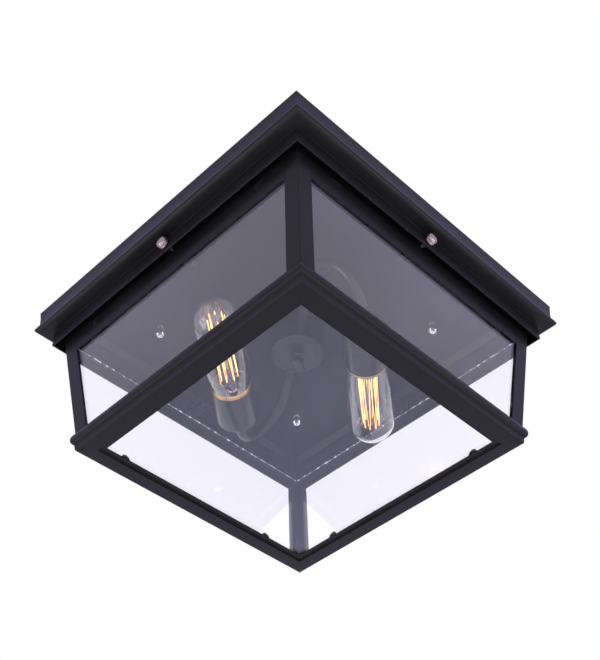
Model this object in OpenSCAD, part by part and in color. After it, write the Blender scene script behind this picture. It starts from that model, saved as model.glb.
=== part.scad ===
// Square ceiling lantern: a moulded sheet-steel ceiling pan with a tapered,
// glazed cage hung below it and two bare-bulb sockets on bent arms inside.
// Millimetres. z = 0 is the ceiling, the lantern hangs towards -z, and the
// origin is the centre of the pan. Side 0 faces -y, 1 +x, 2 +y and 3 -x.

/* [Ceiling pan] */
// Width of the pan where it meets the ceiling
pan_w = 352.4; // [346:0.2:400]
// Thickness of the rolled sheet of the pan's rim
rim_sheet = 1.5; // [1:0.1:2.5]
// Width of the flange that lies on the ceiling
ceiling_flange_w = 10; // [6:1:14]
// Height of the hollow moulding between the ceiling and the bead
cove_h = 17.6; // [14:0.2:24]
// Depth to which the hollow moulding is scooped in
cove_sag = 1.1; // [0.5:0.1:2]
// Radius of the round bead at the foot of the rim
bead_r = 4.6; // [3:0.1:6]
// How far the bead stands out past the ceiling edge
bead_out = 1.6; // [1:0.1:3]
// How far the collar stands in from the ceiling edge
collar_inset = 12.2; // [10:0.2:14]
// Height of the collar below the soffit
collar_h = 17; // [14:0.5:26]

/* [Deck] */
// Thickness of the pressed deck plate
deck_sheet = 1.2; // [0.8:0.1:2]
// Depth of the deck's raised field below the ceiling
deck_depth = 18.8; // [16:0.2:24]
// How much lower the deck's border lies than its field
deck_step = 5.2; // [3:0.2:8]
// Width of the deck's lowered border
deck_border_w = 14.5; // [13.4:0.1:20]
// Gap between the foot of the deck's flange and the thumb screws
deck_flange_gap = 0.7; // [0.5:0.1:2]

/* [Ceiling bracket] */
// Thickness of the bracket's strip
bracket_t = 2; // [1.5:0.1:3]
// Width of the bracket's centre strip
bracket_strip_w = 30; // [24:1:40]
// Width of the bracket's two cross strips
bracket_cross_w = 20; // [14:1:28]
// Distance between the studs, along x and along y
stud_spacing = 183; // [150:1:200]
// Diameter of the studs
stud_d = 4; // [3:0.1:5]
// Distance between the slots for the junction box screws
box_slot_spacing = 79.4; // [70:0.1:90]
// Length of each slot, end to end
box_slot_len = 14.5; // [8:0.5:18]
// Width of each slot
box_slot_w = 5; // [4:0.1:6]
// Diameter of the hole for the supply wires
wire_hole_d = 12; // [9:0.5:16]
// Width across flats of the cap nuts on the studs
cap_nut_af = 8.6; // [7:0.1:10]
// Height of the cap nuts
cap_nut_h = 9.6; // [8:0.1:12]

/* [Cage] */
// Gap between the collar and the top edge of the rails
cage_gap = 5.1; // [4.4:0.1:8]
// How much closer to the axis the cage's foot is than its top
cage_taper = 18.2; // [10:0.2:20]
// Depth of the top edge of the rails below the ceiling
rail_top = 30; // [28.6:0.1:34]
// Depth of the lower edge of the rails
rail_foot = 60.6; // [54:0.2:72]
// Width of each flange of the corner posts
post_w = 15.6; // [12:0.2:22]
// Thickness of the posts and rails
cage_sheet = 1.5; // [1:0.1:2.5]
// Depth of the top edge of the bottom frame
frame_top = 155; // [140:1:190]
// Depth of the lowest face of the lantern
lantern_h = 173; // [158:1:210]

/* [Bottom frame] */
// Thickness of the rolled sheet of the bottom frame
frame_sheet = 1.2; // [0.8:0.1:1.6]
// Height of the bottom frame's round bead
frame_bead_h = 10.6; // [8:0.2:11.2]
// How far that bead stands out past the cage's sides
frame_bead_out = 2.8; // [1.6:0.1:4]
// Width of the flat underside
frame_flat_w = 14; // [8:0.5:18]
// Height of the step up to the lip
lip_rise = 2; // [1:0.1:3]
// Width of the lip that carries the bottom pane
lip_w = 5.5; // [4:0.1:8]

/* [Glass] */
// Thickness of every pane
glass_t = 3; // [2:0.1:4]
// Depth of the top edge of the side panes
glass_top = 43; // [41:0.5:48]
// Radius of the half-round clips that hold the panes
clip_r = 4.5; // [3:0.1:6]
// Distance of the top clips from the cage's corners
top_clip_in = 48; // [30:1:80]
// Distance of the foot clips from the cage's corners
foot_clip_in = 52; // [30:1:70]
// Thickness of the clips
clip_t = 1.2; // [0.8:0.1:1.6]

/* [Thumb screws] */
// Depth of the screws' axes below the ceiling
screw_depth = 36; // [35:0.2:38]
// Diameter of the plain shank that passes the collar
shank_d = 6; // [5:0.1:7]
// Diameter of the threaded tip
tip_d = 4; // [3:0.1:4.6]
// Diameter of the knurled head
thumb_head_d = 11.4; // [9:0.1:13]
// Length of the knurled head
thumb_head_l = 7.4; // [5:0.1:9]
// Width of the hanging tab behind each rail
tab_w = 13; // [10:0.5:18]
// Diameter of the threaded barrel on each tab
barrel_d = 9; // [7:0.1:10]
// Length of the threaded barrel
barrel_l = 12; // [6:0.5:16]

/* [Hub and arms] */
// Diameter of the hub
hub_d = 50.8; // [44:0.2:60]
// Depth of the hub's flat bottom below the ceiling
hub_foot = 59.7; // [56:0.1:64]
// Wall of the hub
hub_wall = 1.5; // [1:0.1:2.5]
// Diameter of the finial's ball
finial_d = 12.4; // [10:0.1:16]
// Outer diameter of the threaded pipe through the hub
pipe_d = 9.8; // [9:0.1:10.4]
// Outer diameter of the arms
arm_d = 9.5; // [8:0.1:10.5]
// Wall of the arms
arm_wall = 1.2; // [0.8:0.1:1.6]
// Depth of the arms where they leave the hub
arm_depth = 40; // [37:0.2:44]
// Angle between an arm and its bulb, seen from below
arm_splay = 15.3; // [8:0.1:22]
// Distance from the hub's axis to the arm's turning corner
arm_reach = 135; // [128:0.5:145]
// Radius of the arm's bends, on the centre line
bend_r = 30; // [22:0.5:31]

/* [Sockets and bulbs] */
// Turn of both lamps about the hub
lamp_turn = 39; // [0:1:89]
// Distance from the hub's axis to a socket's axis
socket_offset = 63.5; // [58:0.5:72]
// Depth of the sockets' axes below the ceiling
socket_depth = 84; // [80:0.5:90]
// How far a socket's mouth lies behind the hub's axis
mouth_back = 8; // [0:0.5:16]
// Length of the socket cup
cup_l = 46.5; // [44:0.5:52]
// Diameter of the cup at its mouth
cup_mouth_d = 38.6; // [37.6:0.1:42]
// Diameter of the cup at its closed end
cup_end_d = 40.4; // [38:0.1:44]
// Wall of the cup
cup_wall = 1.2; // [0.8:0.1:1.4]
// Diameter of the bulb's glass
bulb_d = 45; // [40:0.5:50]
// Length of the bulb beyond the cup's mouth
bulb_out = 104; // [80:1:110]
// Diameter of the bulb's screw cap over its thread
bulb_cap_d = 26.2; // [25.8:0.1:26.4]

/* [Hidden] */

$fn = 48;
far = 400;                  // longer than any part of the lantern
air = 0.3;                  // gap between faces that move past each other
running = 0.08;             // radial clearance of a shaft in its hole
seat = 0.05;                // radial clearance of a fixed pin in its hole
black = [0.11, 0.11, 0.12];
silver = [0.75, 0.75, 0.77];
zinc = [0.62, 0.63, 0.65];
brass = [0.80, 0.62, 0.30];
clear = [0.85, 0.90, 0.95, 0.35];
bakelite = [0.16, 0.13, 0.12];

pan_half = pan_w / 2;
bead_half = pan_half + bead_out;               // widest point of the lantern
collar_half = pan_half - collar_inset;
quirk = 0.8;                                   // groove between cove and bead
bead_z = -(cove_h + quirk + bead_r);           // centre of the rim's bead
soffit_z = bead_z - bead_r;
collar_foot = soffit_z - collar_h;
collar_inner = collar_half - rim_sheet;

deck_top = -deck_depth;
deck_under = deck_top - deck_sheet;
border_top = deck_top - deck_step;
deck_field_half = collar_inner - deck_border_w;
flange_foot = -screw_depth + shank_d / 2 + deck_flange_gap;
cage_top_half = collar_inner - cage_gap;
cage_foot_half = cage_top_half - cage_taper;
top_clip_at = cage_top_half - top_clip_in;
foot_clip_at = cage_foot_half - foot_clip_in;

lean = atan((cage_top_half - cage_foot_half) / (frame_top - rail_top));
// Half width of the cage's outer faces at height z
function cage_half(z) = cage_top_half + (z + rail_top) * tan(lean);

pane_inset = cage_sheet + air;                 // outer face of a pane
clip_inset = pane_inset + glass_t + air;       // outer face of a foot clip
floor_z = -lantern_h + frame_sheet;            // inside of the bottom frame
lip_z = -lantern_h + lip_rise + frame_sheet;   // top of the lip
frame_half = cage_foot_half;                   // inner edge of the frame's bead
frame_round = 1.5;                             // bottom outer edge of the frame
// Outer face at height z of the frame's band, which leans with the cage's sides
function band_out(z) = cage_half(z) + frame_sheet + seat * 2;
foot_out = band_out(-lantern_h + frame_round);
step_half = foot_out - frame_flat_w;
opening_half = step_half - lip_w;

rail_at_screw = cage_half(-rail_top);          // widest the rail is near a screw
shoulder_at = rail_at_screw + air;             // where a shank steps down
tab_face = cage_half(-screw_depth - tab_w / 2) - cage_sheet - air;
tab_t = 2;
barrel_foot = tab_face - tab_t - barrel_l;
tip_end = barrel_foot + 2;
head_foot = collar_half + air;

hub_r = hub_d / 2;
cup_back = -mouth_back - cup_l;                // y of a cup's closed end
arm_r = arm_d / 2;
tube_lap = 0.5;
bend_swell = 0.02;
nut_t = 4;
hub_nut_at = sqrt(pow(hub_r - hub_wall, 2) - pow(9, 2)) - air;
arm_start = hub_nut_at - nut_t - 2;
cup_inner_r = cup_mouth_d / 2 - cup_wall;
socket_shell_t = 0.5;
core_front = -15;                              // from the mouth, into the cup
core_back = -(cup_l - cup_wall - nut_t - 3);
shell_inner_r = bulb_cap_d / 2 + air;
screw_shell_t = 0.5;
cap_front = core_front + 3;                    // top of the bulb's brass cap
cap_l = 23;
cap_back = cap_front - cap_l;
bulb_r = bulb_d / 2;
bulb_glass_t = 0.9;

// ---------------------------------------------------------------- outlines

// n + 1 points of an arc about c, from angle a to angle b
function arc(c, r, a, b, n) =
    [for (i = [0 : n]) c + r * [cos(a + (b - a) * i / n), sin(a + (b - a) * i / n)]];

// The unit vector a quarter turn to the left of the step from p to q
function left_of(p, q) = let (d = q - p) [-d[1], d[0]] / norm(d);

// The path moved by t to its left, with mitred corners
function shifted(path, t) = [for (i = [0 : len(path) - 1])
    let (a = left_of(path[max(i, 1) - 1], path[max(i, 1)]),
         j = min(i, len(path) - 2), b = left_of(path[j], path[j + 1]),
         m = (a + b) / norm(a + b))
    path[i] + m * t / (m * a)];

function reversed(list) = [for (i = [len(list) - 1 : -1 : 0]) list[i]];

// A strip of sheet of thickness t on the left of the path
module sheet_strip(path, t) {
    polygon(concat(path, reversed(shifted(path, t))));
}

// Rim, from the ceiling flange round the cove and bead to the collar's foot
function rim_path() = let (
        sag_r = (pow(cove_h / 2, 2) + pow(cove_sag, 2)) / (2 * cove_sag),
        half_a = asin(cove_h / 2 / sag_r),
        cove_c = [pan_half + sag_r - cove_sag, -cove_h / 2],
        bead_c = [bead_half - bead_r, bead_z],
        bead_a = acos((pan_half - bead_c[0]) / bead_r))
    concat(
        [[pan_half - ceiling_flange_w, 0]],
        arc(cove_c, sag_r, 180 - half_a, 180 + half_a, 6),
        [[pan_half - quirk, -cove_h - quirk / 2]],
        arc(bead_c, bead_r, bead_a, -90, 10),
        [[collar_half, soffit_z], [collar_half, collar_foot]]);

// Bottom frame, from its bead down and in to the lip
function frame_path() = let (
        bead_half_h = frame_bead_h / 2,
        out = frame_bead_out - frame_sheet,
        r = (pow(bead_half_h, 2) + pow(out, 2)) / (2 * out),
        a = asin(bead_half_h / r),
        c = [frame_half + frame_bead_out - r, -frame_top - bead_half_h],
        groove_z = -frame_top - frame_bead_h - quirk)
    concat(
        arc(c, r, a, -a, 10),
        [[band_out(groove_z), groove_z]],
        arc([foot_out - frame_round, -lantern_h + frame_round], frame_round, 0, -90, 4),
        [[step_half, -lantern_h], [step_half, -lantern_h + lip_rise],
         [opening_half, -lantern_h + lip_rise]]);

// ------------------------------------------------------------- placing parts

// Turns the front side's part to the given side
module at_side(side) {
    rotate([0, 0, 90 * side]) children();
}

// What lies between the two diagonals of the front side
module mitre_wedge() {
    translate([0, 0, -far])
        linear_extrude(2 * far) polygon([[0, 0], [-far, -far], [far, -far]]);
}

// A length of moulding along the front side, mitred at both ends. Its section
// is drawn with x outwards from the lantern's axis and y up.
module mitred_length() {
    intersection() {
        rotate([90, 0, -90]) translate([0, 0, -far / 2])
            linear_extrude(far) children();
        mitre_wedge();
    }
}

// A flat piece of thickness t parallel to the front's leaning face and inset
// from it. It is drawn with x along the side and y up the slope from z = 0.
module on_face(inset, t) {
    translate([0, -cage_half(0), 0]) rotate([90 + lean, 0, 0])
        translate([0, 0, -inset - t]) linear_extrude(t) children();
}

// Distance up the slope that reaches height z at a depth behind the face
function up_slope(z, depth = 0) = (z - depth * sin(lean)) / cos(lean);

// Half width of the leaning face at height z
function face_corner(z) = cage_half(z);

// A pipe or rod of radius r from p to q
module rod(p, q, r, sides = 32) {
    d = q - p;
    across = abs(d[0]) + abs(d[1]) > 0.001;
    translate(p)
        rotate([0, across ? acos(d[2] / norm(d)) : (d[2] > 0 ? 0 : 180),
                across ? atan2(d[1], d[0]) : 0])
            cylinder(h = norm(d), r = r, $fn = sides);
}

// Places the lamp on side i, with z along its bulb from the cup's mouth
module at_lamp(i) {
    rotate([0, 0, lamp_turn + 180 * i])
        translate([socket_offset, -mouth_back, -socket_depth])
            rotate([-90, 0, 0]) children();
}

// ---------------------------------------------------------------- ceiling pan

module rim(side) {
    color(black) at_side(side) difference() {
        mitred_length() sheet_strip(reversed(rim_path()), rim_sheet);
        translate([0, -collar_half + far / 2, -screw_depth]) rotate([90, 0, 0])
            cylinder(h = far, r = shank_d / 2 + running);
    }
}

module deck_plate() {
    section = [[0, deck_top], [deck_field_half - deck_step, deck_top],
               [deck_field_half, border_top], [collar_inner, border_top],
               [collar_inner, flange_foot]];
    color(black) difference() {
        for (side = [0 : 3]) at_side(side)
            mitred_length() sheet_strip(reversed(section), deck_sheet);
        at_studs() cylinder(h = far, r = stud_d / 2 + 0.5, center = true);
        cylinder(h = far, r = pipe_d / 2 + seat, center = true);
    }
}

module at_studs() {
    for (x = [-1, 1], y = [-1, 1])
        translate([x * stud_spacing / 2, y * stud_spacing / 2, 0]) children();
}

module ceiling_bracket() {
    reach = stud_spacing + bracket_cross_w;
    color(zinc) translate([0, 0, -bracket_t]) linear_extrude(bracket_t) difference() {
        union() {
            square([bracket_strip_w, reach], center = true);
            for (y = [-1, 1]) translate([0, y * stud_spacing / 2])
                square([reach, bracket_cross_w], center = true);
        }
        circle(d = wire_hole_d);
        translate([0, ground_at]) circle(r = ground_d / 2 + seat);
        for (y = [-1, 1]) translate([0, y * box_slot_spacing / 2]) {
            square([box_slot_w, box_slot_len - box_slot_w], center = true);
            for (e = [-1, 1]) translate([0, e * (box_slot_len - box_slot_w) / 2])
                circle(d = box_slot_w);
        }
    }
}

ground_at = 62;
ground_d = 3.4;

module ground_screw() {
    head_h = 2.2;
    color([0.20, 0.55, 0.25]) translate([0, ground_at, 0]) {
        translate([0, 0, -bracket_t - 6]) cylinder(h = 8 - running, d = ground_d);
        translate([0, 0, -bracket_t - head_h]) difference() {
            cylinder(h = head_h, d = 8);
            translate([-far / 2, -0.5, -1]) cube([far, 1, 2]);
        }
    }
}

module bracket_studs() {
    stud_foot = deck_under - cap_nut_h * 0.6;
    color(zinc) at_studs() translate([0, 0, stud_foot])
        cylinder(h = -bracket_t - stud_foot, d = stud_d);
}

module cap_nuts() {
    hex_h = cap_nut_h * 0.45;
    dome_r = cap_nut_af / 2;
    bore_h = cap_nut_h * 0.62;
    color(silver) at_studs() translate([0, 0, deck_under]) difference() {
        union() {
            translate([0, 0, -hex_h])
                cylinder(h = hex_h, d = cap_nut_af / cos(30), $fn = 6);
            rotate_extrude() polygon(concat([[0, -hex_h]],
                [[dome_r, -hex_h]],
                arc([0, -cap_nut_h + dome_r], dome_r, 0, -90, 8)));
        }
        translate([0, 0, -bore_h]) cylinder(h = bore_h + 1, r = stud_d / 2 + seat);
    }
}

// Tabs that hang from the deck behind the cage's rails and take the screws
module screw_tabs() {
    foot_w = 12;
    tab_foot = -screw_depth;
    color(black) for (side = [0 : 3]) at_side(side) difference() {
        union() {
            translate([-tab_w / 2, -tab_face, tab_foot])
                cube([tab_w, tab_t, border_under - tab_foot]);
            translate([0, -tab_face, tab_foot]) rotate([-90, 0, 0])
                cylinder(h = tab_t, d = tab_w);
            translate([-tab_w / 2, -tab_face, border_under - tab_t])
                cube([tab_w, deck_lap, tab_t]);
            translate([0, -tab_face + tab_t, tab_foot]) rotate([-90, 0, 0])
                cylinder(h = barrel_l, d = barrel_d);
        }
        translate([0, -tab_face - 1, tab_foot]) rotate([-90, 0, 0])
            cylinder(h = far / 4, r = tip_d / 2 + running);
    }
}

border_under = border_top - deck_sheet;
deck_lap = tab_face - deck_field_half - 1;

// ---------------------------------------------------------------- hub and arms

module hub_cup() {
    edge = 2.5;
    section = concat([[pipe_d / 2 + seat, -hub_foot]],
                     arc([hub_r - edge, -hub_foot + edge], edge, -90, 0, 6),
                     [[hub_r, deck_under]]);
    color(black) difference() {
        rotate_extrude($fn = 96) sheet_strip(section, hub_wall);
        for (i = [0, 1]) rotate([0, 0, lamp_turn + 180 * i + arm_splay])
            translate([0, 0, -arm_depth]) rotate([90, 0, 0])
                cylinder(h = far, r = arm_r + seat);
        for (i = [0, 1]) at_set_screw(i)
            cylinder(h = far, r = set_screw_d / 2 + seat, center = true);
    }
}

set_screw_d = 3;
set_screw_drop = arm_r + 4.4;

// Placed on the hub's wall below an arm, z outwards
module at_set_screw(i) {
    rotate([0, 0, lamp_turn + 180 * i + arm_splay])
        translate([0, -hub_r, -arm_depth - set_screw_drop]) rotate([90, 0, 0]) children();
}

module set_screws() {
    head_h = 1.8;
    color(silver) for (i = [0, 1]) at_set_screw(i) {
        translate([0, 0, -5]) cylinder(h = 5 + 0.4, d = set_screw_d);
        translate([0, 0, 0.4]) difference() {
            cylinder(h = head_h, d1 = 5.8, d2 = 4.4);
            translate([-far / 2, -0.45, head_h - 0.8]) cube([far, 0.9, 2]);
        }
    }
}

pipe_top = deck_top + nut_t + 3;
pipe_foot = -hub_foot - 3;

module hub_pipe() {
    color(zinc) translate([0, 0, pipe_foot]) difference() {
        cylinder(h = pipe_top - pipe_foot, d = pipe_d);
        translate([0, 0, -1]) cylinder(h = far, d = pipe_d - 3.4);
    }
}

// A hexagon nut of the given bore, from z = 0 up
module hex_nut(bore_r, across = 14.2) {
    difference() {
        cylinder(h = nut_t, d = across / cos(30), $fn = 6);
        translate([0, 0, -1]) cylinder(h = nut_t + 2, r = bore_r);
    }
}

module pipe_nuts() {
    color(zinc) {
        translate([0, 0, deck_top]) hex_nut(pipe_d / 2 + seat);
        translate([0, 0, deck_under - nut_t]) hex_nut(pipe_d / 2 + seat);
    }
}

module finial() {
    collar_r = pipe_d / 2 + 1.3;
    ball_r = finial_d / 2;
    ball_z = -hub_foot - 4 - ball_r * 0.95;
    color(black) difference() {
        rotate_extrude() polygon(concat(
            [[0, -hub_foot], [collar_r, -hub_foot], [collar_r, -hub_foot - 3.4],
             [ball_r * 0.62, -hub_foot - 4.4]],
            arc([0, ball_z], ball_r, 52, -90, 14)));
        translate([0, 0, pipe_foot - 0.3]) cylinder(h = 20, r = pipe_d / 2 + seat);
    }
}

// Corner points of the right arm's centre line, in the lamp's own turn
function arm_corners() = let (out = [sin(arm_splay), -cos(arm_splay), 0])
    [out * arm_start + [0, 0, -arm_depth],
     out * arm_reach + [0, 0, -arm_depth],
     [socket_offset, cup_back - bend_r, -socket_depth],
     [socket_offset, cup_back + cup_wall + nut_t + 1, -socket_depth]];

// The bend at corner p between points a and b: centre, start, end and angle
function bend_at(a, p, b, r) = let (
        u = (a - p) / norm(a - p), v = (b - p) / norm(b - p),
        half = acos(u * v) / 2, t = r / tan(half),
        c = p + (u + v) / norm(u + v) * r / sin(half))
    [c, p + u * t, p + v * t, 180 - 2 * half];

// The arm's tube: straight, bend, straight, bend, straight. A bend's wall is a
// little thicker both ways, so the straights end inside it and fuse cleanly.
module arm(i) {
    k = arm_corners();
    first = bend_at(k[0], k[1], k[2], bend_r);
    second = bend_at(k[1], k[2], k[3], bend_r);
    color(black) rotate([0, 0, lamp_turn + 180 * i]) {
        tube(k[0], first[1]);
        tube_bend(first, k[1]);
        tube(first[2], second[1]);
        tube_bend(second, k[2]);
        tube(second[2], k[3]);
    }
}

// A straight length of the arm's tube from p to q and a little past each end
module tube(p, q) {
    d = q - p;
    length = norm(d);
    translate(p) rotate([0, acos(d[2] / length), atan2(d[1], d[0])])
        translate([0, 0, -tube_lap]) linear_extrude(length + 2 * tube_lap) difference() {
            circle(r = arm_r);
            circle(r = arm_r - arm_wall);
        }
}

// A bend of the arm's tube, with its outer corner point given
module tube_bend(bend, corner) {
    x = (bend[1] - bend[0]) / bend_r;
    ahead = corner - bend[1];
    y = ahead / norm(ahead);
    z = cross(x, y);
    tilt = acos(z[2]);
    turn = atan2(z[1], z[0]);
    side_x = [cos(tilt) * cos(turn), cos(tilt) * sin(turn), -sin(tilt)];
    side_y = [-sin(turn), cos(turn), 0];
    translate(bend[0]) rotate([0, tilt, turn])
        rotate([0, 0, atan2(x * side_y, x * side_x)])
            rotate_extrude(angle = bend[3], $fn = 96) translate([bend_r, 0]) difference() {
                circle(r = arm_r + bend_swell);
                circle(r = arm_r - arm_wall - bend_swell);
            }
}

module arm_nuts() {
    color(zinc) for (i = [0, 1]) {
        rotate([0, 0, lamp_turn + 180 * i + arm_splay])
            translate([0, -hub_nut_at + nut_t, -arm_depth]) rotate([90, 0, 0])
                hex_nut(arm_r + seat);
        at_lamp(i) translate([0, 0, -cup_l + cup_wall]) hex_nut(arm_r + seat);
    }
}

// ---------------------------------------------------------------- sockets

module socket_cup(i) {
    round = 5;
    end_r = cup_end_d / 2;
    section = concat([[arm_r + seat, -cup_l]],
                     arc([end_r - round, -cup_l + round], round, -90, 0, 6),
                     [[cup_mouth_d / 2, 0]]);
    color(black) at_lamp(i) rotate_extrude($fn = 96) sheet_strip(section, cup_wall);
}

// Plain brass sleeve of the lampholder, just inside the cup
module socket_shell(i) {
    r = cup_inner_r - seat;
    color(brass) at_lamp(i) translate([0, 0, core_back]) difference() {
        cylinder(h = -core_back - 0.6, r = r, $fn = 96);
        translate([0, 0, -1]) cylinder(h = far, r = r - socket_shell_t, $fn = 96);
    }
}

module socket_core(i) {
    r = cup_inner_r - 2 * seat - socket_shell_t;
    color(bakelite) at_lamp(i) difference() {
        translate([0, 0, core_back]) cylinder(h = core_front - core_back, r = r, $fn = 96);
        translate([0, 0, cap_back - 3])
            cylinder(h = far, r = shell_inner_r + screw_shell_t + seat, $fn = 96);
    }
}

module screw_shell(i) {
    color(brass) at_lamp(i) translate([0, 0, cap_back - 1]) difference() {
        cylinder(h = core_front - cap_back + 1, r = shell_inner_r + screw_shell_t,
                 $fn = 96);
        translate([0, 0, -1]) cylinder(h = far, r = shell_inner_r, $fn = 96);
    }
}

// Sprung tongues at the bottom of the sockets
module socket_contacts() {
    color(brass) for (i = [0, 1]) at_lamp(i) translate([0, 0, cap_back - 3])
        cylinder(h = 0.8, d = 12);
}

// ---------------------------------------------------------------- cage

// Post at the corner that follows the given side, counter-clockwise
module post(side) {
    top = -rail_top + 1;
    foot = floor_z;
    color(black) {
        at_side(side) post_flange(top, foot, 1);
        at_side(side + 1) post_flange(top, foot, -1);
    }
}

module post_flange(top, foot, hand) {
    intersection() {
        on_face(0, cage_sheet) polygon([for (p = [[top, 0], [top, 1], [foot, 1], [foot, 0]])
            [hand * (face_corner(p[0]) - p[1] * post_w + (1 - p[1]) * 5),
             up_slope(p[0])]]);
        mitre_wedge();
    }
}

module top_rail(side) {
    color(black) at_side(side) difference() {
        on_face(0, cage_sheet) difference() {
            polygon([for (p = [[-rail_top, 1], [-rail_foot, 1], [-rail_foot, -1],
                               [-rail_top, -1]])
                [p[1] * (face_corner(p[0]) - post_w), up_slope(p[0])]]);
            screw_notch();
            for (x = [-1, 1]) translate([x * top_clip_at, clip_slope]) intersection() {
                circle(r = clip_r + 0.3);
                translate([-far / 2, -far]) square([far, far]);
            }
        }
    }
}

// Notch for a screw's tip, open at the rail's top edge, where it flares out
module screw_notch() {
    notch_w = tip_d + 1;
    mouth_w = notch_w + 17;
    below = 1.5;                               // clear of the screw, for lowering
    at_screw = up_slope(-screw_depth);
    translate([0, at_screw - below]) circle(d = notch_w);
    polygon([for (hand = [1, -1]) for (p = hand > 0
        ? [[notch_w, at_screw - below], [notch_w, at_screw + 1],
           [mouth_w, up_slope(-rail_top) + 1]]
        : [[mouth_w, up_slope(-rail_top) + 1], [notch_w, at_screw + 1],
           [notch_w, at_screw - below]])
        [hand * p[0] / 2, p[1]]]);
}

clip_slope = up_slope(-glass_top, pane_inset) + air;

// Half-round tongues punched from the rails and bent in over the glass
module top_clips() {
    color(black) for (side = [0 : 3], x = [-1, 1]) at_side(side)
        translate([0, -cage_half(0), 0]) rotate([90 + lean, 0, 0])
            translate([x * top_clip_at, clip_slope + clip_t, -cage_sheet])
                rotate([90, 0, 0]) linear_extrude(clip_t) intersection() {
                    circle(r = clip_r + cage_sheet);
                    translate([-far / 2, -far]) square([far, far]);
                }
}

// Half-round clips that stand on the bottom frame inside the side panes
module foot_clips() {
    height = frame_top - 4;
    color(black) for (side = [0 : 3], x = [-1, 1]) at_side(side)
        on_face(clip_inset, clip_t) translate([x * foot_clip_at, 0]) {
            translate([0, up_slope(-height) - clip_r]) circle(r = clip_r);
            translate([-clip_r, up_slope(floor_z, clip_inset)])
                square([2 * clip_r, up_slope(-height) - clip_r
                                    - up_slope(floor_z, clip_inset)]);
        }
}

module bottom_frame(side) {
    color(black) at_side(side)
        mitred_length() sheet_strip(reversed(frame_path()), frame_sheet);
}

module pane(side) {
    edge = pane_inset + glass_t + 1;
    color(clear) at_side(side) on_face(pane_inset, glass_t)
        polygon([for (p = [[-glass_top, 1], [floor_z, 1], [floor_z, -1], [-glass_top, -1]])
            [p[1] * (face_corner(p[0]) - edge), up_slope(p[0], pane_inset)]]);
}

module bottom_pane() {
    half = cage_half(lip_z) - clip_inset - clip_t - 2 * air;
    color(clear) translate([-half, -half, lip_z]) cube([2 * half, 2 * half, glass_t]);
}

// ---------------------------------------------------------------- thumb screws

module thumb_screw(side) {
    ribs = 20;
    dome = 1.6;
    band = thumb_head_l - dome;
    head_r = thumb_head_d / 2;
    color(silver) at_side(side) translate([0, 0, -screw_depth]) rotate([90, 0, 0]) {
        translate([0, 0, tip_end]) cylinder(h = shoulder_at - tip_end, d = tip_d);
        translate([0, 0, shoulder_at]) cylinder(h = head_foot - shoulder_at, d = shank_d);
        translate([0, 0, head_foot]) linear_extrude(band) difference() {
            circle(r = head_r);
            for (k = [0 : ribs - 1]) rotate(360 * k / ribs)
                translate([head_r + 0.25, 0]) circle(r = 0.6, $fn = 16);
        }
        translate([0, 0, head_foot + band]) difference() {
            cylinder(h = dome, r1 = head_r - 0.6, r2 = head_r - dome);
            translate([-far / 2, -0.6, dome - 1.2]) cube([far, 1.2, 2]);
        }
    }
}

// ---------------------------------------------------------------- bulbs

thread_h = 0.55;                               // height of the cap's thread
cap_wall = 0.5;
neck_r = bulb_cap_d / 2 - thread_h - cap_wall - seat;
neck_foot = cap_front - 5;

// Outline of the glass from the neck to the tip, r and distance from the mouth
function bulb_outline() = let (full_at = 34)
    concat([[neck_r, neck_foot], [neck_r, cap_front + 0.5]],
           [for (i = [1 : 9]) let (t = i / 10, s = t * t * (3 - 2 * t))
               [neck_r + (bulb_r - neck_r) * pow(sin(90 * t), 0.9),
                cap_front + 0.5 + (full_at - cap_front - 0.5) * (0.15 * t + 0.85 * s)]],
           [[bulb_r, full_at], [bulb_r, bulb_out - bulb_r]],
           arc([0, bulb_out - bulb_r], bulb_r, 10, 80, 7));

module bulb_glass(i) {
    outline = bulb_outline();
    last = [0, bulb_out];
    color(clear) at_lamp(i) rotate_extrude($fn = 96) polygon(concat(
        outline, [last], [[0, bulb_out - bulb_glass_t]],
        reversed(shifted(outline, bulb_glass_t))));
}

module bulb_cap(i) {
    pitch = 3.63;
    r = bulb_cap_d / 2 - thread_h;
    turns = 5;
    thread = [for (k = [0 : turns * 6])
        [r + thread_h / 2 * (1 - cos(60 * k)), cap_back + 3 + pitch * k / 6]];
    color(brass) at_lamp(i) rotate_extrude($fn = 96) polygon(concat(
        [[tip_hole_r, cap_back + 0.8], [r - 1.5, cap_back + 0.8], [r, cap_back + 2.4]],
        thread, [[r, cap_front - 0.5], [r, cap_front], [r - cap_wall, cap_front],
        [r - cap_wall, cap_back + 3], [r - 1.9, cap_back + 0.8 + cap_wall],
        [tip_hole_r, cap_back + 0.8 + cap_wall]]));
}

tip_hole_r = 5;

module bulb_tip(i) {
    color(bakelite) at_lamp(i) translate([0, 0, cap_back - 1]) {
        cylinder(h = 1, d = 8);
        translate([0, 0, 1]) cylinder(h = 3.2, r = tip_hole_r - seat);
    }
}

stem_top = 14;                                 // from the mouth, where the rod starts
rod_r = 1.1;
rod_end = bulb_out - 24;

// Glass stem: a flare fused inside the neck, drawn up into a thin rod
module stem(i) {
    flare_r = neck_r - bulb_glass_t;
    press_r = 3.2;
    color(clear) at_lamp(i) rotate_extrude() polygon([[0, neck_foot], [flare_r, neck_foot],
        [flare_r, neck_foot + 1.5], [flare_r * 0.55, neck_foot + 9],
        [press_r, neck_foot + 16], [press_r, stem_top - 5], [rod_r, stem_top],
        [rod_r, rod_end], [0, rod_end]]);
}

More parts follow.
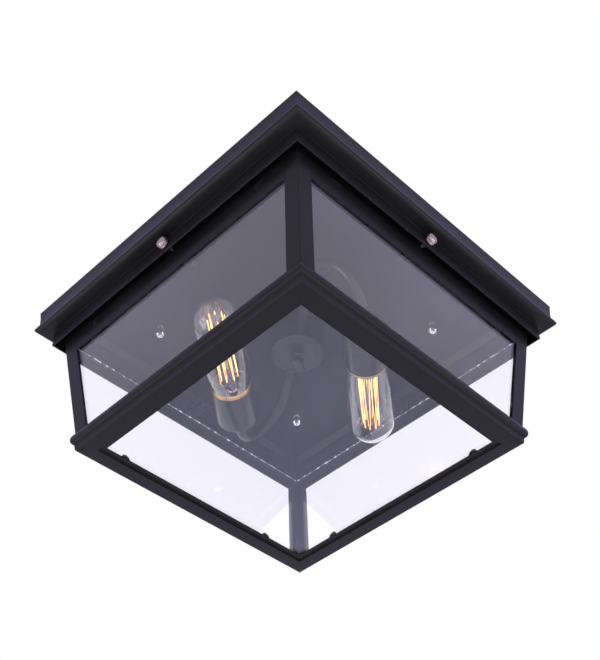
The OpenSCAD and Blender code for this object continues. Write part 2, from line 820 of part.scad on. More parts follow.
// Hairpin strands strung between two rings of hooks on the stem's rod
module filament(i) {
    strands = 12;
    strand_r = 8.5;
    strand_d = 0.5;
    hook_d = 0.8;
    hub_h = 2.4;
    low = 23;
    high = rod_end - hub_h;
    color([0.95, 0.75, 0.35]) at_lamp(i) {
        for (z = [low, high]) translate([0, 0, z]) {
            difference() {
                cylinder(h = hub_h, r = rod_r + 0.9);
                translate([0, 0, -1]) cylinder(h = hub_h + 2, r = rod_r + seat);
            }
            for (k = [0 : strands - 1]) rotate([0, 0, 360 * k / strands])
                translate([rod_r + 0.5, 0, hub_h / 2]) rotate([0, 90, 0])
                    cylinder(h = strand_r + 0.5 - rod_r, d = hook_d, $fn = 16);
        }
        for (k = [0 : strands - 1]) rotate([0, 0, 360 * k / strands])
            translate([strand_r, 0, low]) cylinder(h = high + hub_h - low, d = strand_d,
                                                   $fn = 16);
    }
}

// ---------------------------------------------------------------- the pieces

rim(0);  // rim_front
rim(1);  // rim_right
rim(2);  // rim_back
rim(3);  // rim_left
deck_plate();
ceiling_bracket();
bracket_studs();
cap_nuts();
ground_screw();
screw_tabs();
hub_cup();
hub_pipe();
pipe_nuts();
finial();
set_screws();
arm(0);  // arm_right
arm(1);  // arm_left
arm_nuts();
socket_cup(0);  // cup_right
socket_cup(1);  // cup_left
socket_shell(0);  // socket_shell_right
socket_shell(1);  // socket_shell_left
socket_core(0);  // socket_core_right
socket_core(1);  // socket_core_left
screw_shell(0);  // screw_shell_right
screw_shell(1);  // screw_shell_left
socket_contacts();
post(0);  // post_front_right
post(1);  // post_back_right
post(2);  // post_back_left
post(3);  // post_front_left
top_rail(0);  // top_rail_front
top_rail(1);  // top_rail_right
top_rail(2);  // top_rail_back
top_rail(3);  // top_rail_left
bottom_frame(0);  // bottom_frame_front
bottom_frame(1);  // bottom_frame_right
bottom_frame(2);  // bottom_frame_back
bottom_frame(3);  // bottom_frame_left
pane(0);  // pane_front
pane(1);  // pane_right
pane(2);  // pane_back
pane(3);  // pane_left
bottom_pane();
top_clips();
foot_clips();
thumb_screw(0);  // thumb_screw_front
thumb_screw(1);  // thumb_screw_right
thumb_screw(2);  // thumb_screw_back
thumb_screw(3);  // thumb_screw_left
bulb_glass(0);  // bulb_glass_right
bulb_glass(1);  // bulb_glass_left
bulb_cap(0);  // bulb_cap_right
bulb_cap(1);  // bulb_cap_left
bulb_tip(0);  // bulb_tip_right
bulb_tip(1);  // bulb_tip_left
stem(0);  // stem_right
stem(1);  // stem_left
filament(0);  // filament_right
filament(1);  // filament_left
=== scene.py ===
# %% [markdown]
# # A square porch lantern on the ceiling
# A moulded pan of black steel hides the junction box, and a tapered cage of glass
# hangs below it with two filament bulbs on bent arms. This file dresses the measured
# parts in Blender: smooth mouldings, glass, threads and wire, with a material for
# each. The parts arrive as a fixed frame in metres, and nothing here moves them.

# %% Load the measured parts
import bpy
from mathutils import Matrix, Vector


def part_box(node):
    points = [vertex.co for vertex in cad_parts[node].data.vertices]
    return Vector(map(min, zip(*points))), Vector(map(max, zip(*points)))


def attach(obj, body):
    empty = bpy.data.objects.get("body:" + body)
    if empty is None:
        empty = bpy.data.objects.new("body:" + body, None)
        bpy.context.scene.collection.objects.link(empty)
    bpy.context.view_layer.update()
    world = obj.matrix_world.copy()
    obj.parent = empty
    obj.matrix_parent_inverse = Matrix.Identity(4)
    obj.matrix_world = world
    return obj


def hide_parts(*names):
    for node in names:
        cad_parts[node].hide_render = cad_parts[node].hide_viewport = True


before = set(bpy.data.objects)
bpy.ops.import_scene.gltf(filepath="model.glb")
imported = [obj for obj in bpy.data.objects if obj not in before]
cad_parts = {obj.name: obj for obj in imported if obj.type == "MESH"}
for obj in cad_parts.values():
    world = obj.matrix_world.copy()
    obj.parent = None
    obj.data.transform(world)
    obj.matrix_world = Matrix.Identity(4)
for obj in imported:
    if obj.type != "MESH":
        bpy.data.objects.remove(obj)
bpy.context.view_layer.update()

import math
import bmesh
import bpy
import numpy as np
from mathutils import Matrix, Vector

MM = 0.001

# %% [markdown]
# ## The camera
# The photograph looks up at one corner from below. Four corners of the pan and four
# of the bottom frame were matched to find where the camera stood and how it
# was turned, so the position and the two directions below are that answer. The lens
# follows from how much the near edges grow against the far ones.

# %% Set up the camera
CAMERA_AT = (0.5193, -0.5435, -0.7910)
CAMERA_RIGHT = np.array([0.7091, 0.7047, -0.0234])
CAMERA_FORWARD = np.array([-0.4827, 0.5094, 0.7124])
LENS_MM = 60.84
SENSOR_MM = 36.0


def linked(name, data):
    """A new object in the scene, at the origin."""
    made = bpy.data.objects.new(name, data)
    bpy.context.scene.collection.objects.link(made)
    return made


def set_up_camera():
    """The camera's axes are right, up = right x forward, and back = -forward."""
    data = bpy.data.cameras.new("camera")
    data.lens = LENS_MM
    data.sensor_fit = "VERTICAL"
    data.sensor_height = SENSOR_MM
    data.clip_end = 20
    forward = CAMERA_FORWARD / np.linalg.norm(CAMERA_FORWARD)
    right = CAMERA_RIGHT - forward * (CAMERA_RIGHT @ forward)
    right /= np.linalg.norm(right)
    turn = np.eye(4)
    turn[:3] = np.stack([right, np.cross(right, forward), -forward, CAMERA_AT], -1)
    camera = linked("camera", data)
    camera.matrix_world = Matrix(turn.tolist())
    bpy.context.scene.camera = camera


set_up_camera()
print("camera at", CAMERA_AT)

# %% [markdown]
# ## Surfaces from arrays
# Every new piece is a grid of points: rows of sections carried along a path, or a
# profile turned about an axis. The points are worked out as whole arrays, and one
# helper turns a grid into a closed mesh, so that no piece is edited by hand.

# %% Turn arrays into closed pieces
SHARP = math.radians(38)


def grid(*axes):
    """One array of points from arrays of coordinates, stretched to one shape."""
    return np.stack(np.broadcast_arrays(*axes), -1)


def axes_of(points):
    """The arrays x, y and z of some points."""
    return np.moveaxis(np.asarray(points, float), -1, 0)


def volume(p, faces):
    """The signed volume by the divergence theorem: a sixth of the sum over the
    triangles of a . (b x c). It is negative if the faces point inwards."""
    fans = [(f[0], f[i], f[i + 1]) for f in faces for i in range(1, len(f) - 1)]
    a, b, c = (p[np.array(fans)[:, k]] for k in range(3))
    return float(np.einsum("ij,ij->i", a, np.cross(b, c)).sum() / 6)


def make_piece(name, points, faces, body, sharp=SHARP):
    """A mesh object whose faces point outwards and that rides on a body. Edges that
    bend by more than the sharp angle stay crisp, and the rest are shaded smooth."""
    points = np.asarray(points, float).reshape(-1, 3)
    if volume(points, faces) < 0:
        faces = [f[::-1] for f in faces]
    mesh = bpy.data.meshes.new(name)
    mesh.from_pydata(points.tolist(), [], faces)
    mesh.validate()
    mesh.update()
    mesh.polygons.foreach_set("use_smooth", [True] * len(mesh.polygons))
    mesh.set_sharp_from_angle(angle=sharp)
    piece = linked(name, mesh)
    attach(piece, body)
    return piece


def loft_faces(stations, points, closed):
    """Quads between each section and the next, wrapping round the section. A closed
    loft joins the last section to the first, and an open one gets two end caps."""
    rows = np.arange(stations if closed else stations - 1)
    row, col = np.meshgrid(rows, np.arange(points), indexing="ij")
    next_row, next_col = (row + 1) % stations, (col + 1) % points
    quads = grid(row * points + col, row * points + next_col,
                 next_row * points + next_col, next_row * points + col)
    faces = quads.reshape(-1, 4).tolist()
    if not closed:
        faces.append(list(range(points))[::-1])
        faces.append(list(range((stations - 1) * points, stations * points)))
    return faces


def lofted(name, sections, body, closed=False, sharp=SHARP):
    """The solid whose sections are the rows of an array (station, point, xyz)."""
    return make_piece(name, sections, loft_faces(*sections.shape[:2], closed), body, sharp)


def capped_turn(name, rings, place, body):
    """A turned solid whose profile starts and ends on the axis: the rings between
    are joined by quads, and a fan of triangles closes each end at one point."""
    inner = rings[:, 1:-1].transpose(1, 0, 2)
    count, steps = inner.shape[:2]
    points = np.concatenate([inner.reshape(-1, 3), rings[:1, 0], rings[:1, -1]])
    here = np.arange(steps)
    after = (here + 1) % steps
    first, base = count * steps, (count - 1) * steps
    start = grid(first, after, here).tolist()
    end = grid(first + 1, base + here, base + after).tolist()
    quads = loft_faces(count, steps, closed=False)[:-2]
    return make_piece(name, place(points), quads + start + end, body)


def revolved(name, profile, place, body, steps=64, bend=None):
    """The solid made by turning a profile of (radius, height) once about its axis:
    x = r cos(a), y = r sin(a), z = h. Where the profile meets the axis, the ring
    shrinks to one point. bend(r, a, h) may change the radius, as a thread does."""
    profile = np.asarray(profile, float)
    r, a = np.meshgrid(profile[:, 0], np.linspace(0, 2 * np.pi, steps, endpoint=False))
    h = np.broadcast_to(profile[:, 1], r.shape)
    if bend is not None:
        r = bend(r, a, h)
    rings = grid(r * np.cos(a), r * np.sin(a), h)
    if profile[0, 0] < 1e-9:
        return capped_turn(name, rings, place, body)
    return lofted(name, place(rings), body, closed=True)


print("a ring of", len(loft_faces(4, 4, True)), "quads closes a square loft")

# %% [markdown]
# ## Outlines
# A rolled moulding is one strip of sheet, so its outline is a path and a copy of the
# path moved sideways by the thickness. Real sheet has no perfectly sharp corner, and
# a small round on each one catches the light the way the real edges do.

# %% Draw outlines
def arc(centre, radius, start, end, steps):
    """Points c + r (cos a, sin a) with a from start to end, in degrees."""
    a = np.radians(np.linspace(start, end, steps + 1))
    return np.array(centre) + radius * grid(np.cos(a), np.sin(a))


def moved_sideways(path, distance):
    """The path moved to its left. Each corner moves along the bisector of its two
    normals, by distance / cos(half the turn), so the strip keeps its thickness."""
    path = np.asarray(path, float)
    step = np.diff(path, axis=0)
    normal = grid(-step[:, 1], step[:, 0])
    normal /= np.linalg.norm(normal, axis=1, keepdims=True)
    before, after = np.vstack([normal[:1], normal]), np.vstack([normal, normal[-1:]])
    middle = before + after
    middle /= np.linalg.norm(middle, axis=1, keepdims=True)
    return path + middle * distance / np.sum(middle * after, 1, keepdims=True)


def sheet_outline(path, thickness):
    """The closed outline of a strip of sheet on the left of a path."""
    return np.vstack([path, moved_sideways(path, thickness)[::-1]])


CORNER = math.radians(25)
FLAT_RUN = 1.4


def rounded(outline, radius, steps=3):
    """The closed outline with each sharp corner p replaced by the curve
    (1-t)^2 a + 2t(1-t) p + t^2 b between points a and b set back from it. One more
    point past each end keeps the flat face beside the curve shaded flat."""
    outline = np.asarray(outline, float)
    out = []
    for before, here, after in zip(np.roll(outline, 1, 0), outline,
                                   np.roll(outline, -1, 0)):
        u, v = before - here, after - here
        lu, lv = np.linalg.norm(u), np.linalg.norm(v)
        turn = math.pi - math.acos(np.clip(u @ v / (lu * lv), -1, 1))
        if turn < CORNER:
            out.append(here[None])
            continue
        back = min(radius * math.tan(turn / 2), 0.3 * lu, 0.3 * lv)
        a, b = here + u / lu * back, here + v / lv * back
        t = np.linspace(0, 1, steps + 1)[:, None]
        curve = (1 - t) ** 2 * a + 2 * t * (1 - t) * here + t ** 2 * b
        out.append(np.vstack([here + FLAT_RUN * (a - here), curve,
                              here + FLAT_RUN * (b - here)]))
    return np.vstack(out)


print("a rounded square has", len(rounded([[0, 0], [1, 0], [1, 1], [0, 1]], 0.1)), "points")

# %% [markdown]
# ## Sizes read from the frame
# The boxes of the measured parts give the driving sizes, so the dressed pieces and
# the parts can never drift apart. Only sizes that a box cannot show, such as the
# thickness of the sheet, are written here as numbers.

# %% Read the sizes
rim_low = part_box("rim_front")[0]
BEAD_OUT = 1.6 * MM
BEAD_HALF = -rim_low.y
PAN_HALF = BEAD_HALF - BEAD_OUT
COLLAR_FOOT = rim_low.z
RIM_SHEET = 1.5 * MM
COLLAR_INSET = 12.2 * MM
COLLAR_HALF = PAN_HALF - COLLAR_INSET
COLLAR_INNER = COLLAR_HALF - RIM_SHEET
QUIRK = 0.8 * MM

CAGE_GAP = 5.1 * MM
CAGE_NARROWS = 18.2 * MM
CAGE_TOP = -30 * MM
CAGE_END = -155 * MM
CAGE_TOP_HALF = COLLAR_INNER - CAGE_GAP
CAGE_END_HALF = CAGE_TOP_HALF - CAGE_NARROWS
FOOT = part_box("bottom_frame_front")[0].z
TAPER = (CAGE_TOP_HALF - CAGE_END_HALF) / (CAGE_TOP - CAGE_END)
CAGE_SHEET = 1.5 * MM
SIDES = {"front": 0, "right": 1, "back": 2, "left": 3}


def cage_half(z):
    """Half the cage's width at height z: it narrows evenly from top to foot."""
    return CAGE_TOP_HALF + (z - CAGE_TOP) * TAPER


def turned(points, quarter_turns):
    """Points turned about the lantern's axis by whole quarter turns."""
    x, y, z = axes_of(points)
    for _ in range(quarter_turns % 4):
        x, y = -y, x
    return grid(x, y, z)


print(f"pan {2 * PAN_HALF:.4f} m, bead {2 * BEAD_HALF:.4f} m, taper {TAPER:.3f}")

# %% [markdown]
# ## Shared surface effects
# Powder coat, bare metal and glass all have faults at different sizes. Each effect is
# a node group that gives a mask or a height only, so the same group serves many
# materials, and each material keeps its own shader.

# %% Helpers for node trees
def fill(tree, node, inputs):
    """Links a node's input to each socket that is given, and types in the rest."""
    for key, value in inputs.items():
        if isinstance(value, bpy.types.NodeSocket):
            tree.links.new(value, node.inputs[key])
        else:
            node.inputs[key].default_value = value


def add(tree, kind, inputs=None, **settings):
    """A node of a kind, with its settings made and its inputs linked or typed in."""
    node = tree.nodes.new(kind)
    for key, value in settings.items():
        setattr(node, key, value)
    fill(tree, node, inputs or {})
    return node


def group(name, inputs, outputs):
    """An empty node group with named float sockets and its two end nodes."""
    tree = bpy.data.node_groups.new(name, "ShaderNodeTree")
    for label, value in inputs.items():
        tree.interface.new_socket(label, in_out="INPUT",
                                  socket_type="NodeSocketFloat").default_value = value
    for label in outputs:
        tree.interface.new_socket(label, in_out="OUTPUT", socket_type="NodeSocketFloat")
    return tree, tree.nodes.new("NodeGroupInput"), tree.nodes.new("NodeGroupOutput")


def sums(tree, operation, a, b, **settings):
    """The result of one Math node."""
    return add(tree, "ShaderNodeMath", {0: a, 1: b}, operation=operation,
               **settings).outputs[0]


def spread(tree, value, low, high, to_low=0.0, to_high=1.0):
    """A value mapped from one range to another and held inside it."""
    return add(tree, "ShaderNodeMapRange",
               {"Value": value, "From Min": low, "From Max": high,
                "To Min": to_low, "To Max": to_high}).outputs["Result"]


def place_on(tree, stretch=None):
    """The place on the piece, from Object coordinates, multiplied along each axis."""
    place = add(tree, "ShaderNodeTexCoord").outputs["Object"]
    if stretch is None:
        return place
    return add(tree, "ShaderNodeMapping", {"Vector": place, "Scale": stretch}).outputs[0]


def noise(tree, place, scale, detail, rough=0.5):
    """Smooth noise of about 0 to 1, with finer octaves added as detail."""
    return add(tree, "ShaderNodeTexNoise", {"Vector": place, "Scale": scale,
                                            "Detail": detail, "Roughness": rough}).outputs[0]


# %% Build the shared effects
def build_coat_grain():
    """Height of a sprayed coat: orange peel a millimetre across with finer grit on it.
    height = peel + grit / 4. Patches is a slow cloud for changes of sheen."""
    tree, start, end = group("coat_grain", {"Peel Scale": 700.0, "Grit Scale": 3200.0},
                             ["Height", "Patches"])
    place = place_on(tree)
    peel = noise(tree, place, start.outputs["Peel Scale"], 2.0)
    grit = noise(tree, place, start.outputs["Grit Scale"], 1.0)
    patches = noise(tree, place, 14.0, 4.0, 0.62)
    height = sums(tree, "ADD", peel, sums(tree, "MULTIPLY", grit, 0.25))
    fill(tree, end, {"Height": height, "Patches": spread(tree, patches, 0.3, 0.7)})
    return tree


def build_scuffs():
    """Fine scratches: a noise drawn out along one axis and broken by a slow cloud, and
    a dust mask that gathers on faces that look up."""
    tree, start, end = group("scuffs_and_dust", {"Scratch Scale": 60.0, "Dust": 1.0},
                             ["Scratches", "Dust"])
    lines = noise(tree, place_on(tree, (1, 7, 3)), start.outputs["Scratch Scale"], 6.0, 0.75)
    clouds = noise(tree, place_on(tree), 35.0, 3.0)
    broken = sums(tree, "MULTIPLY", spread(tree, lines, 0.58, 0.66),
                  spread(tree, clouds, 0.45, 0.62))
    normal = add(tree, "ShaderNodeNewGeometry").outputs["Normal"]
    facing = add(tree, "ShaderNodeSeparateXYZ", {0: normal}).outputs["Z"]
    settled = sums(tree, "MULTIPLY", spread(tree, facing, 0.55, 1.0),
                   spread(tree, clouds, 0.35, 0.75))
    dust = sums(tree, "MULTIPLY", settled, start.outputs["Dust"], use_clamp=True)
    fill(tree, end, {"Scratches": broken, "Dust": dust})
    return tree


def build_drawn_glass():
    """Height of drawn sheet: streaks that run up the glass, from a noise drawn out ten
    times along z. Film is a slow cloud of haze."""
    tree, start, end = group("drawn_glass", {"Scale": 300.0}, ["Height", "Film"])
    streaks = noise(tree, place_on(tree, (1, 1, 0.1)), start.outputs["Scale"], 2.0)
    haze = noise(tree, place_on(tree), 9.0, 4.0, 0.6)
    fill(tree, end, {"Height": streaks, "Film": spread(tree, haze, 0.35, 0.7)})
    return tree


COAT_GRAIN = build_coat_grain()
SCUFFS = build_scuffs()
DRAWN_GLASS = build_drawn_glass()
print("effects:", COAT_GRAIN.name, SCUFFS.name, DRAWN_GLASS.name)

# %% [markdown]
# ## Materials
# Each finish starts from one Principled shader. What is the same all over is typed
# into its sockets, and only what changes over the surface comes through nodes.

# %% Helpers for materials
def material(name):
    """A new material and its node tree, Principled shader and output node."""
    made = bpy.data.materials.new(name)
    made.use_nodes = True
    tree = made.node_tree
    tree.nodes.clear()
    shader = tree.nodes.new("ShaderNodeBsdfPrincipled")
    output = add(tree, "ShaderNodeOutputMaterial", {"Surface": shader.outputs["BSDF"]})
    return made, tree, shader, output


def use(tree, effect, **values):
    """A node that places a shared effect with its own values."""
    node = add(tree, "ShaderNodeGroup", node_tree=effect)
    fill(tree, node, {label.replace("_", " "): value for label, value in values.items()})
    return node


def mixed(tree, amount, *colours):
    """A colour that goes from the first to the second by a mask."""
    node = add(tree, "ShaderNodeMix", {"Factor": amount}, data_type="RGBA")
    for label, colour in zip("AB", colours):
        typed = isinstance(colour, tuple)
        socket = [s for s in node.inputs if s.name == label and s.type == "RGBA"][0]
        fill(tree, node, {list(node.inputs).index(socket): (*colour, 1.0) if typed else colour})
    return [s for s in node.outputs if s.type == "RGBA"][0]


def bumped(tree, height, distance, strength):
    """The normal of a surface with a height, as a distance in metres of relief."""
    return add(tree, "ShaderNodeBump", {"Height": height, "Distance": distance,
                                        "Strength": strength}).outputs["Normal"]


DUST_COLOUR = (0.10, 0.095, 0.10)


def weathered(tree, grain, scuffs, colours, sheen, scratch):
    """Cloudy colour with dust where a face looks up, and cloudy roughness with the
    scratches added."""
    base = mixed(tree, grain.outputs["Patches"], *colours)
    base = mixed(tree, scuffs.outputs["Dust"], base, DUST_COLOUR)
    cloudy = spread(tree, grain.outputs["Patches"], 0, 1, *sheen)
    dull = sums(tree, "MULTIPLY", scuffs.outputs["Scratches"], scratch)
    return base, sums(tree, "ADD", cloudy, dull)


# %% Make the black coats and the metals
COATS = ((0.0050, 0.0046, 0.0052), (0.0080, 0.0074, 0.0082))
WARM_TINT = (1.0, 0.97, 0.80, 1.0)


def make_black_coat(name, gloss, *sheen):
    """Black powder coat: orange peel, patches of more and less sheen, a few dull
    scuffs, and a little dust. Its warm tint offsets the lavender light."""
    made, tree, shader, _ = material(name)
    grain = use(tree, COAT_GRAIN)
    base, rough = weathered(tree, grain, use(tree, SCUFFS, Dust=0.35), COATS, sheen, 0.10)
    fill(tree, shader, {
        "Base Color": base, "Roughness": rough, "Specular IOR Level": gloss,
        "Specular Tint": WARM_TINT,
        "Normal": bumped(tree, grain.outputs["Height"], 0.05 * MM, 0.55)})
    return made


def make_bare_metal(name, colours, sheen, scratch, middle=None):
    """Plated or solid metal: cloudy sheen and fine scratches that dull it. On a bright ball
    the middle colour is a painted reflection: a darker base colour where the face looks at the
    eye."""
    made, tree, shader, _ = material(name)
    grain = use(tree, COAT_GRAIN, Peel_Scale=260.0, Grit_Scale=1800.0)
    scuffs = use(tree, SCUFFS, Scratch_Scale=420.0, Dust=0.2)
    base, rough = weathered(tree, grain, scuffs, colours, sheen, scratch)
    if middle:
        # painted reflection: the base colour turns to the middle colour where the face looks at
        # the camera
        facing = add(tree, "ShaderNodeLayerWeight", {"Blend": 0.5}).outputs["Facing"]
        base = mixed(tree, spread(tree, facing, 0.03, 0.14), middle, base)
    fill(tree, shader, {
        "Base Color": base, "Metallic": 1.0, "Roughness": rough,
        "Normal": bumped(tree, grain.outputs["Height"], 0.02 * MM, 0.3)})
    return made


BLACK = make_black_coat("satin_black_coat", 0.17, 0.34, 0.44)
GLOSS_BLACK = make_black_coat("gloss_black_coat", 0.34, 0.18, 0.28)
ZINC = make_bare_metal("zinc_plate", ((0.55, 0.56, 0.58), (0.66, 0.66, 0.64)),
                       (0.32, 0.46), 0.2)
# the ball's middle colour (0.10, 0.08, 0.08) is a painted reflection of the dark room
NICKEL = make_bare_metal("bright_nickel", ((0.80, 0.79, 0.79), (0.92, 0.91, 0.91)),
                         (0.04, 0.10), 0.1, (0.10, 0.08, 0.08))
WORN_NICKEL = make_bare_metal("worn_nickel", ((0.34, 0.27, 0.22), (0.58, 0.48, 0.40)),
                              (0.16, 0.28), 0.3)
DARK_STEEL = make_bare_metal("oiled_steel", ((0.05, 0.045, 0.045), (0.08, 0.07, 0.07)),
                             (0.35, 0.5), 0.1)
BRASS = make_bare_metal("satin_brass", ((0.62, 0.42, 0.16), (0.78, 0.58, 0.28)),
                        (0.24, 0.36), 0.2)
SOLDER = make_bare_metal("solder", ((0.50, 0.50, 0.50), (0.62, 0.62, 0.60)),
                         (0.3, 0.4), 0.1)
GREEN = make_bare_metal("green_passivated", ((0.05, 0.26, 0.09), (0.08, 0.36, 0.13)),
                        (0.3, 0.42), 0.2)
print(len(bpy.data.materials), "coats and metals")


# %% Make the glass, the insulator and the filament
def make_glass(name, ior, film, ripple, ripple_scale, colour):
    """Clear glass with a thin film of dirt and drawn ripples. Light that only passes
    through on its way to a surface goes straight, so shadows inside stay clear."""
    made, tree, shader, output = material(name)
    drawn = use(tree, DRAWN_GLASS, Scale=ripple_scale)
    fill(tree, shader, {
        "Transmission Weight": 1.0, "IOR": ior, "Base Color": (*colour, 1.0),
        "Roughness": spread(tree, drawn.outputs["Film"], 0, 1, 0.0, film),
        "Normal": bumped(tree, drawn.outputs["Height"], ripple, 0.5)})
    clear = add(tree, "ShaderNodeBsdfTransparent", {"Color": (*colour, 1.0)})
    shadow = add(tree, "ShaderNodeLightPath").outputs["Is Shadow Ray"]
    choose = add(tree, "ShaderNodeMixShader",
                 {0: shadow, 1: shader.outputs["BSDF"], 2: clear.outputs["BSDF"]})
    fill(tree, output, {"Surface": choose.outputs[0]})
    return made


def make_ground_edge():
    """The cut top edge of a pane: ground white in the places where it is chipped, and given a
    painted glow there, an emission that stands for light that runs inside the pane and
    leaves at its edge."""
    made, tree, shader, _ = material("ground_edge")
    height = use(tree, COAT_GRAIN, Peel_Scale=230.0, Grit_Scale=900.0).outputs["Height"]
    chipped = spread(tree, height, 0.66, 0.74)
    base = mixed(tree, chipped, (0.05, 0.05, 0.06), (0.85, 0.85, 0.90))
    # painted glow: the chips emit their own colour at strength 0.8
    fill(tree, shader, {"Base Color": base, "Emission Color": base,
                        "Emission Strength": 0.8, "Roughness": 0.6,
                        "Normal": bumped(tree, height, 0.1 * MM, 0.5)})
    return made


def make_insulator():
    """Moulded dark insulating resin with a slight mottle."""
    made, tree, shader, _ = material("dark_insulator")
    grain = use(tree, COAT_GRAIN, Peel_Scale=500.0)
    base = mixed(tree, grain.outputs["Patches"], (0.03, 0.024, 0.02), (0.055, 0.045, 0.04))
    fill(tree, shader, {"Base Color": base, "Roughness": 0.4,
                        "Normal": bumped(tree, grain.outputs["Height"], 0.03 * MM, 0.4)})
    return made


def make_filament():
    """Carbon-like wire with a weak amber glow that varies along it."""
    made, tree, shader, _ = material("amber_filament")
    patches = use(tree, COAT_GRAIN, Peel_Scale=180.0).outputs["Patches"]
    base = mixed(tree, patches, (0.85, 0.42, 0.10), (1.0, 0.72, 0.28))
    glow = mixed(tree, patches, (1.0, 0.36, 0.05), (1.0, 0.66, 0.20))
    fill(tree, shader, {"Base Color": base, "Emission Color": glow,
                        "Emission Strength": 2.4, "Roughness": 0.35})
    return made


PANE = make_glass("pane_glass", 1.5, 0.004, 0.0005 * MM, 420.0, (0.995, 0.995, 1.0))
BULB = make_glass("bulb_glass", 1.47, 0.006, 0.002 * MM, 90.0, (0.995, 0.985, 0.98))
# the stem's amber tint is a painted glow, standing for the filament's light in the flare and
# rod
STEM = make_glass("stem_glass", 1.5, 0.05, 0.01 * MM, 200.0, (0.99, 0.90, 0.80))
GROUND_EDGE = make_ground_edge()
INSULATOR = make_insulator()
FILAMENT = make_filament()
print(len(bpy.data.materials), "materials")


# %% Give pieces their finish
def dress(piece, finish, slot, *nodes):
    """Gives a new piece its finish and hides what it replaces. The slot is not used."""
    piece.data.materials.clear()
    piece.data.materials.append(finish)
    if nodes:
        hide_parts(*nodes)
    return piece


def second_finish(piece, finish, chosen):
    """Gives the faces whose centres pass a test a second finish."""
    piece.data.materials.append(finish)
    centres = np.empty(3 * len(piece.data.polygons))
    piece.data.polygons.foreach_get("center", centres)
    mask = chosen(centres.reshape(-1, 3))
    piece.data.polygons.foreach_set("material_index", mask.astype(np.int32))


# %% [markdown]
# ## The rim of the pan
# The rim is one strip rolled into a flange, a shallow cove, a half-round bead and a
# collar, cut to four lengths with mitred ends. A profile of (half width, height) is
# carried along each side. At the mitre the side's length equals the half width, so
# the point of the profile at half width h ends at x = -h and x = +h.

# %% Roll the rim
COVE_HEIGHT = 17.6 * MM
COVE_SAG = 0.3 * MM
COVE_LEAN = 1.3 * MM
BEAD_R = 4.6 * MM
BEAD_Z = -(COVE_HEIGHT + QUIRK + BEAD_R)
FLANGE_W = 10 * MM


def rim_profile():
    """Ceiling flange, cove, quirk, bead arc, soffit and collar, as one path. The cove
    leans in by a and is hollowed by s, so its half width at the share t of its height
    is h - a t - s sin(pi t)."""
    t = np.linspace(0, 1, 21)
    cove = grid(PAN_HALF - COVE_LEAN * t - COVE_SAG * np.sin(np.pi * t),
                -COVE_HEIGHT * t)
    foot = PAN_HALF - COVE_LEAN
    centre = (BEAD_HALF - BEAD_R, BEAD_Z)
    start = math.degrees(math.acos((foot - centre[0]) / BEAD_R))
    bead = arc(centre, BEAD_R, start, -90, 24)
    flange = [[PAN_HALF - FLANGE_W, 0]]
    quirk = [[foot - QUIRK, -COVE_HEIGHT - QUIRK / 2]]
    collar = [[COLLAR_HALF, BEAD_Z - BEAD_R], [COLLAR_HALF, COLLAR_FOOT]]
    return np.vstack([flange, cove, quirk, bead, collar])


EDGE_ROUND = 0.35 * MM
SEAM = 0.004 * MM
DRILL_REACH = 8 * MM


def mitred(name, outline, quarter_turns, body, stations=9):
    """A length of moulding on one side. The point (h, z) of its outline goes to
    (t (h - seam), -h, z) as t runs from -1 to 1, which mitres both ends."""
    t = np.linspace(-1, 1, stations)[:, None]
    half, height = outline.T
    return lofted(name, turned(grid(t * (half - SEAM), -half, height), quarter_turns), body)


def drilled(piece, centre, direction, radius):
    """Cuts a round hole through a piece with a cylinder, which is then deleted."""
    around = arc((0, 0), radius, 0, 360, 32)[:-1, :, None]
    direction = np.array(direction, float)
    across = np.cross(direction, (0, 0, 1))
    ends = centre + direction * np.array([[[-DRILL_REACH]], [[DRILL_REACH]]])
    rings = ends + across * around[:, 0] + np.array([0, 0, 1]) * around[:, 1]
    cutter = lofted("cutter", rings, "canopy")
    cut = piece.modifiers.new("hole", "BOOLEAN")
    cut.object, cut.solver = cutter, "EXACT"
    graph = bpy.context.evaluated_depsgraph_get()
    mesh = bpy.data.meshes.new_from_object(piece.evaluated_get(graph))
    piece.modifiers.clear()
    old, piece.data = piece.data, mesh
    mesh.name = old.name
    bpy.data.meshes.remove(old)
    bpy.data.objects.remove(cutter)
    mesh.set_sharp_from_angle(angle=SHARP)
    return piece


SCREW_Z = -36 * MM
HOLE_R = 3.1 * MM
rim_outline = rounded(sheet_outline(rim_profile()[::-1], RIM_SHEET), EDGE_ROUND)
for side, quarter in SIDES.items():
    rim = mitred(f"rolled_rim_{side}", rim_outline, quarter, "canopy")
    outwards = turned([0, -1, 0], quarter)
    drilled(rim, outwards * COLLAR_HALF + [0, 0, SCREW_Z], outwards, HOLE_R)
    dress(rim, BLACK, "black_coat", f"rim_{side}")
print("rim outline of", len(rim_outline), "points")

# %% [markdown]
# ## The bottom frame
# The cage stands in a ring of moulding: a bead, a dark groove under it, a plain band,
# a flat underside, and a lip that carries the bottom pane. It is carried along each
# side and mitred in the same way as the rim.

# %% Roll the bottom frame
FRAME_SHEET = 1.2 * MM


def frame_profile():
    """Bead arc, groove, leaning band with a rounded foot, flat underside, step and
    lip. The band keeps just outside the posts, so it narrows as the cage does."""
    bead_h, bead_out, flat, lip, rise, foot_r = (v * MM for v in
                                                 (10.6, 2.8, 14, 5.5, 2, 1.5))
    out = bead_out - FRAME_SHEET
    radius = ((bead_h / 2) ** 2 + out ** 2) / (2 * out)
    half = math.degrees(math.asin(bead_h / 2 / radius))
    plain, top = CAGE_END_HALF, CAGE_END
    bead = arc((plain + bead_out - radius, top - bead_h / 2), radius, half, -half, 20)
    outside = FRAME_SHEET + 0.1 * MM
    groove_z = top - bead_h - QUIRK
    groove = [[cage_half(groove_z) + outside, groove_z]]
    foot_out = cage_half(FOOT + foot_r) + outside
    foot = arc((foot_out - foot_r, FOOT + foot_r), foot_r, 0, -90, 6)
    step = foot_out - flat
    ledge = [[step, FOOT], [step, FOOT + rise], [step - lip, FOOT + rise]]
    return np.vstack([bead, groove, foot, ledge])


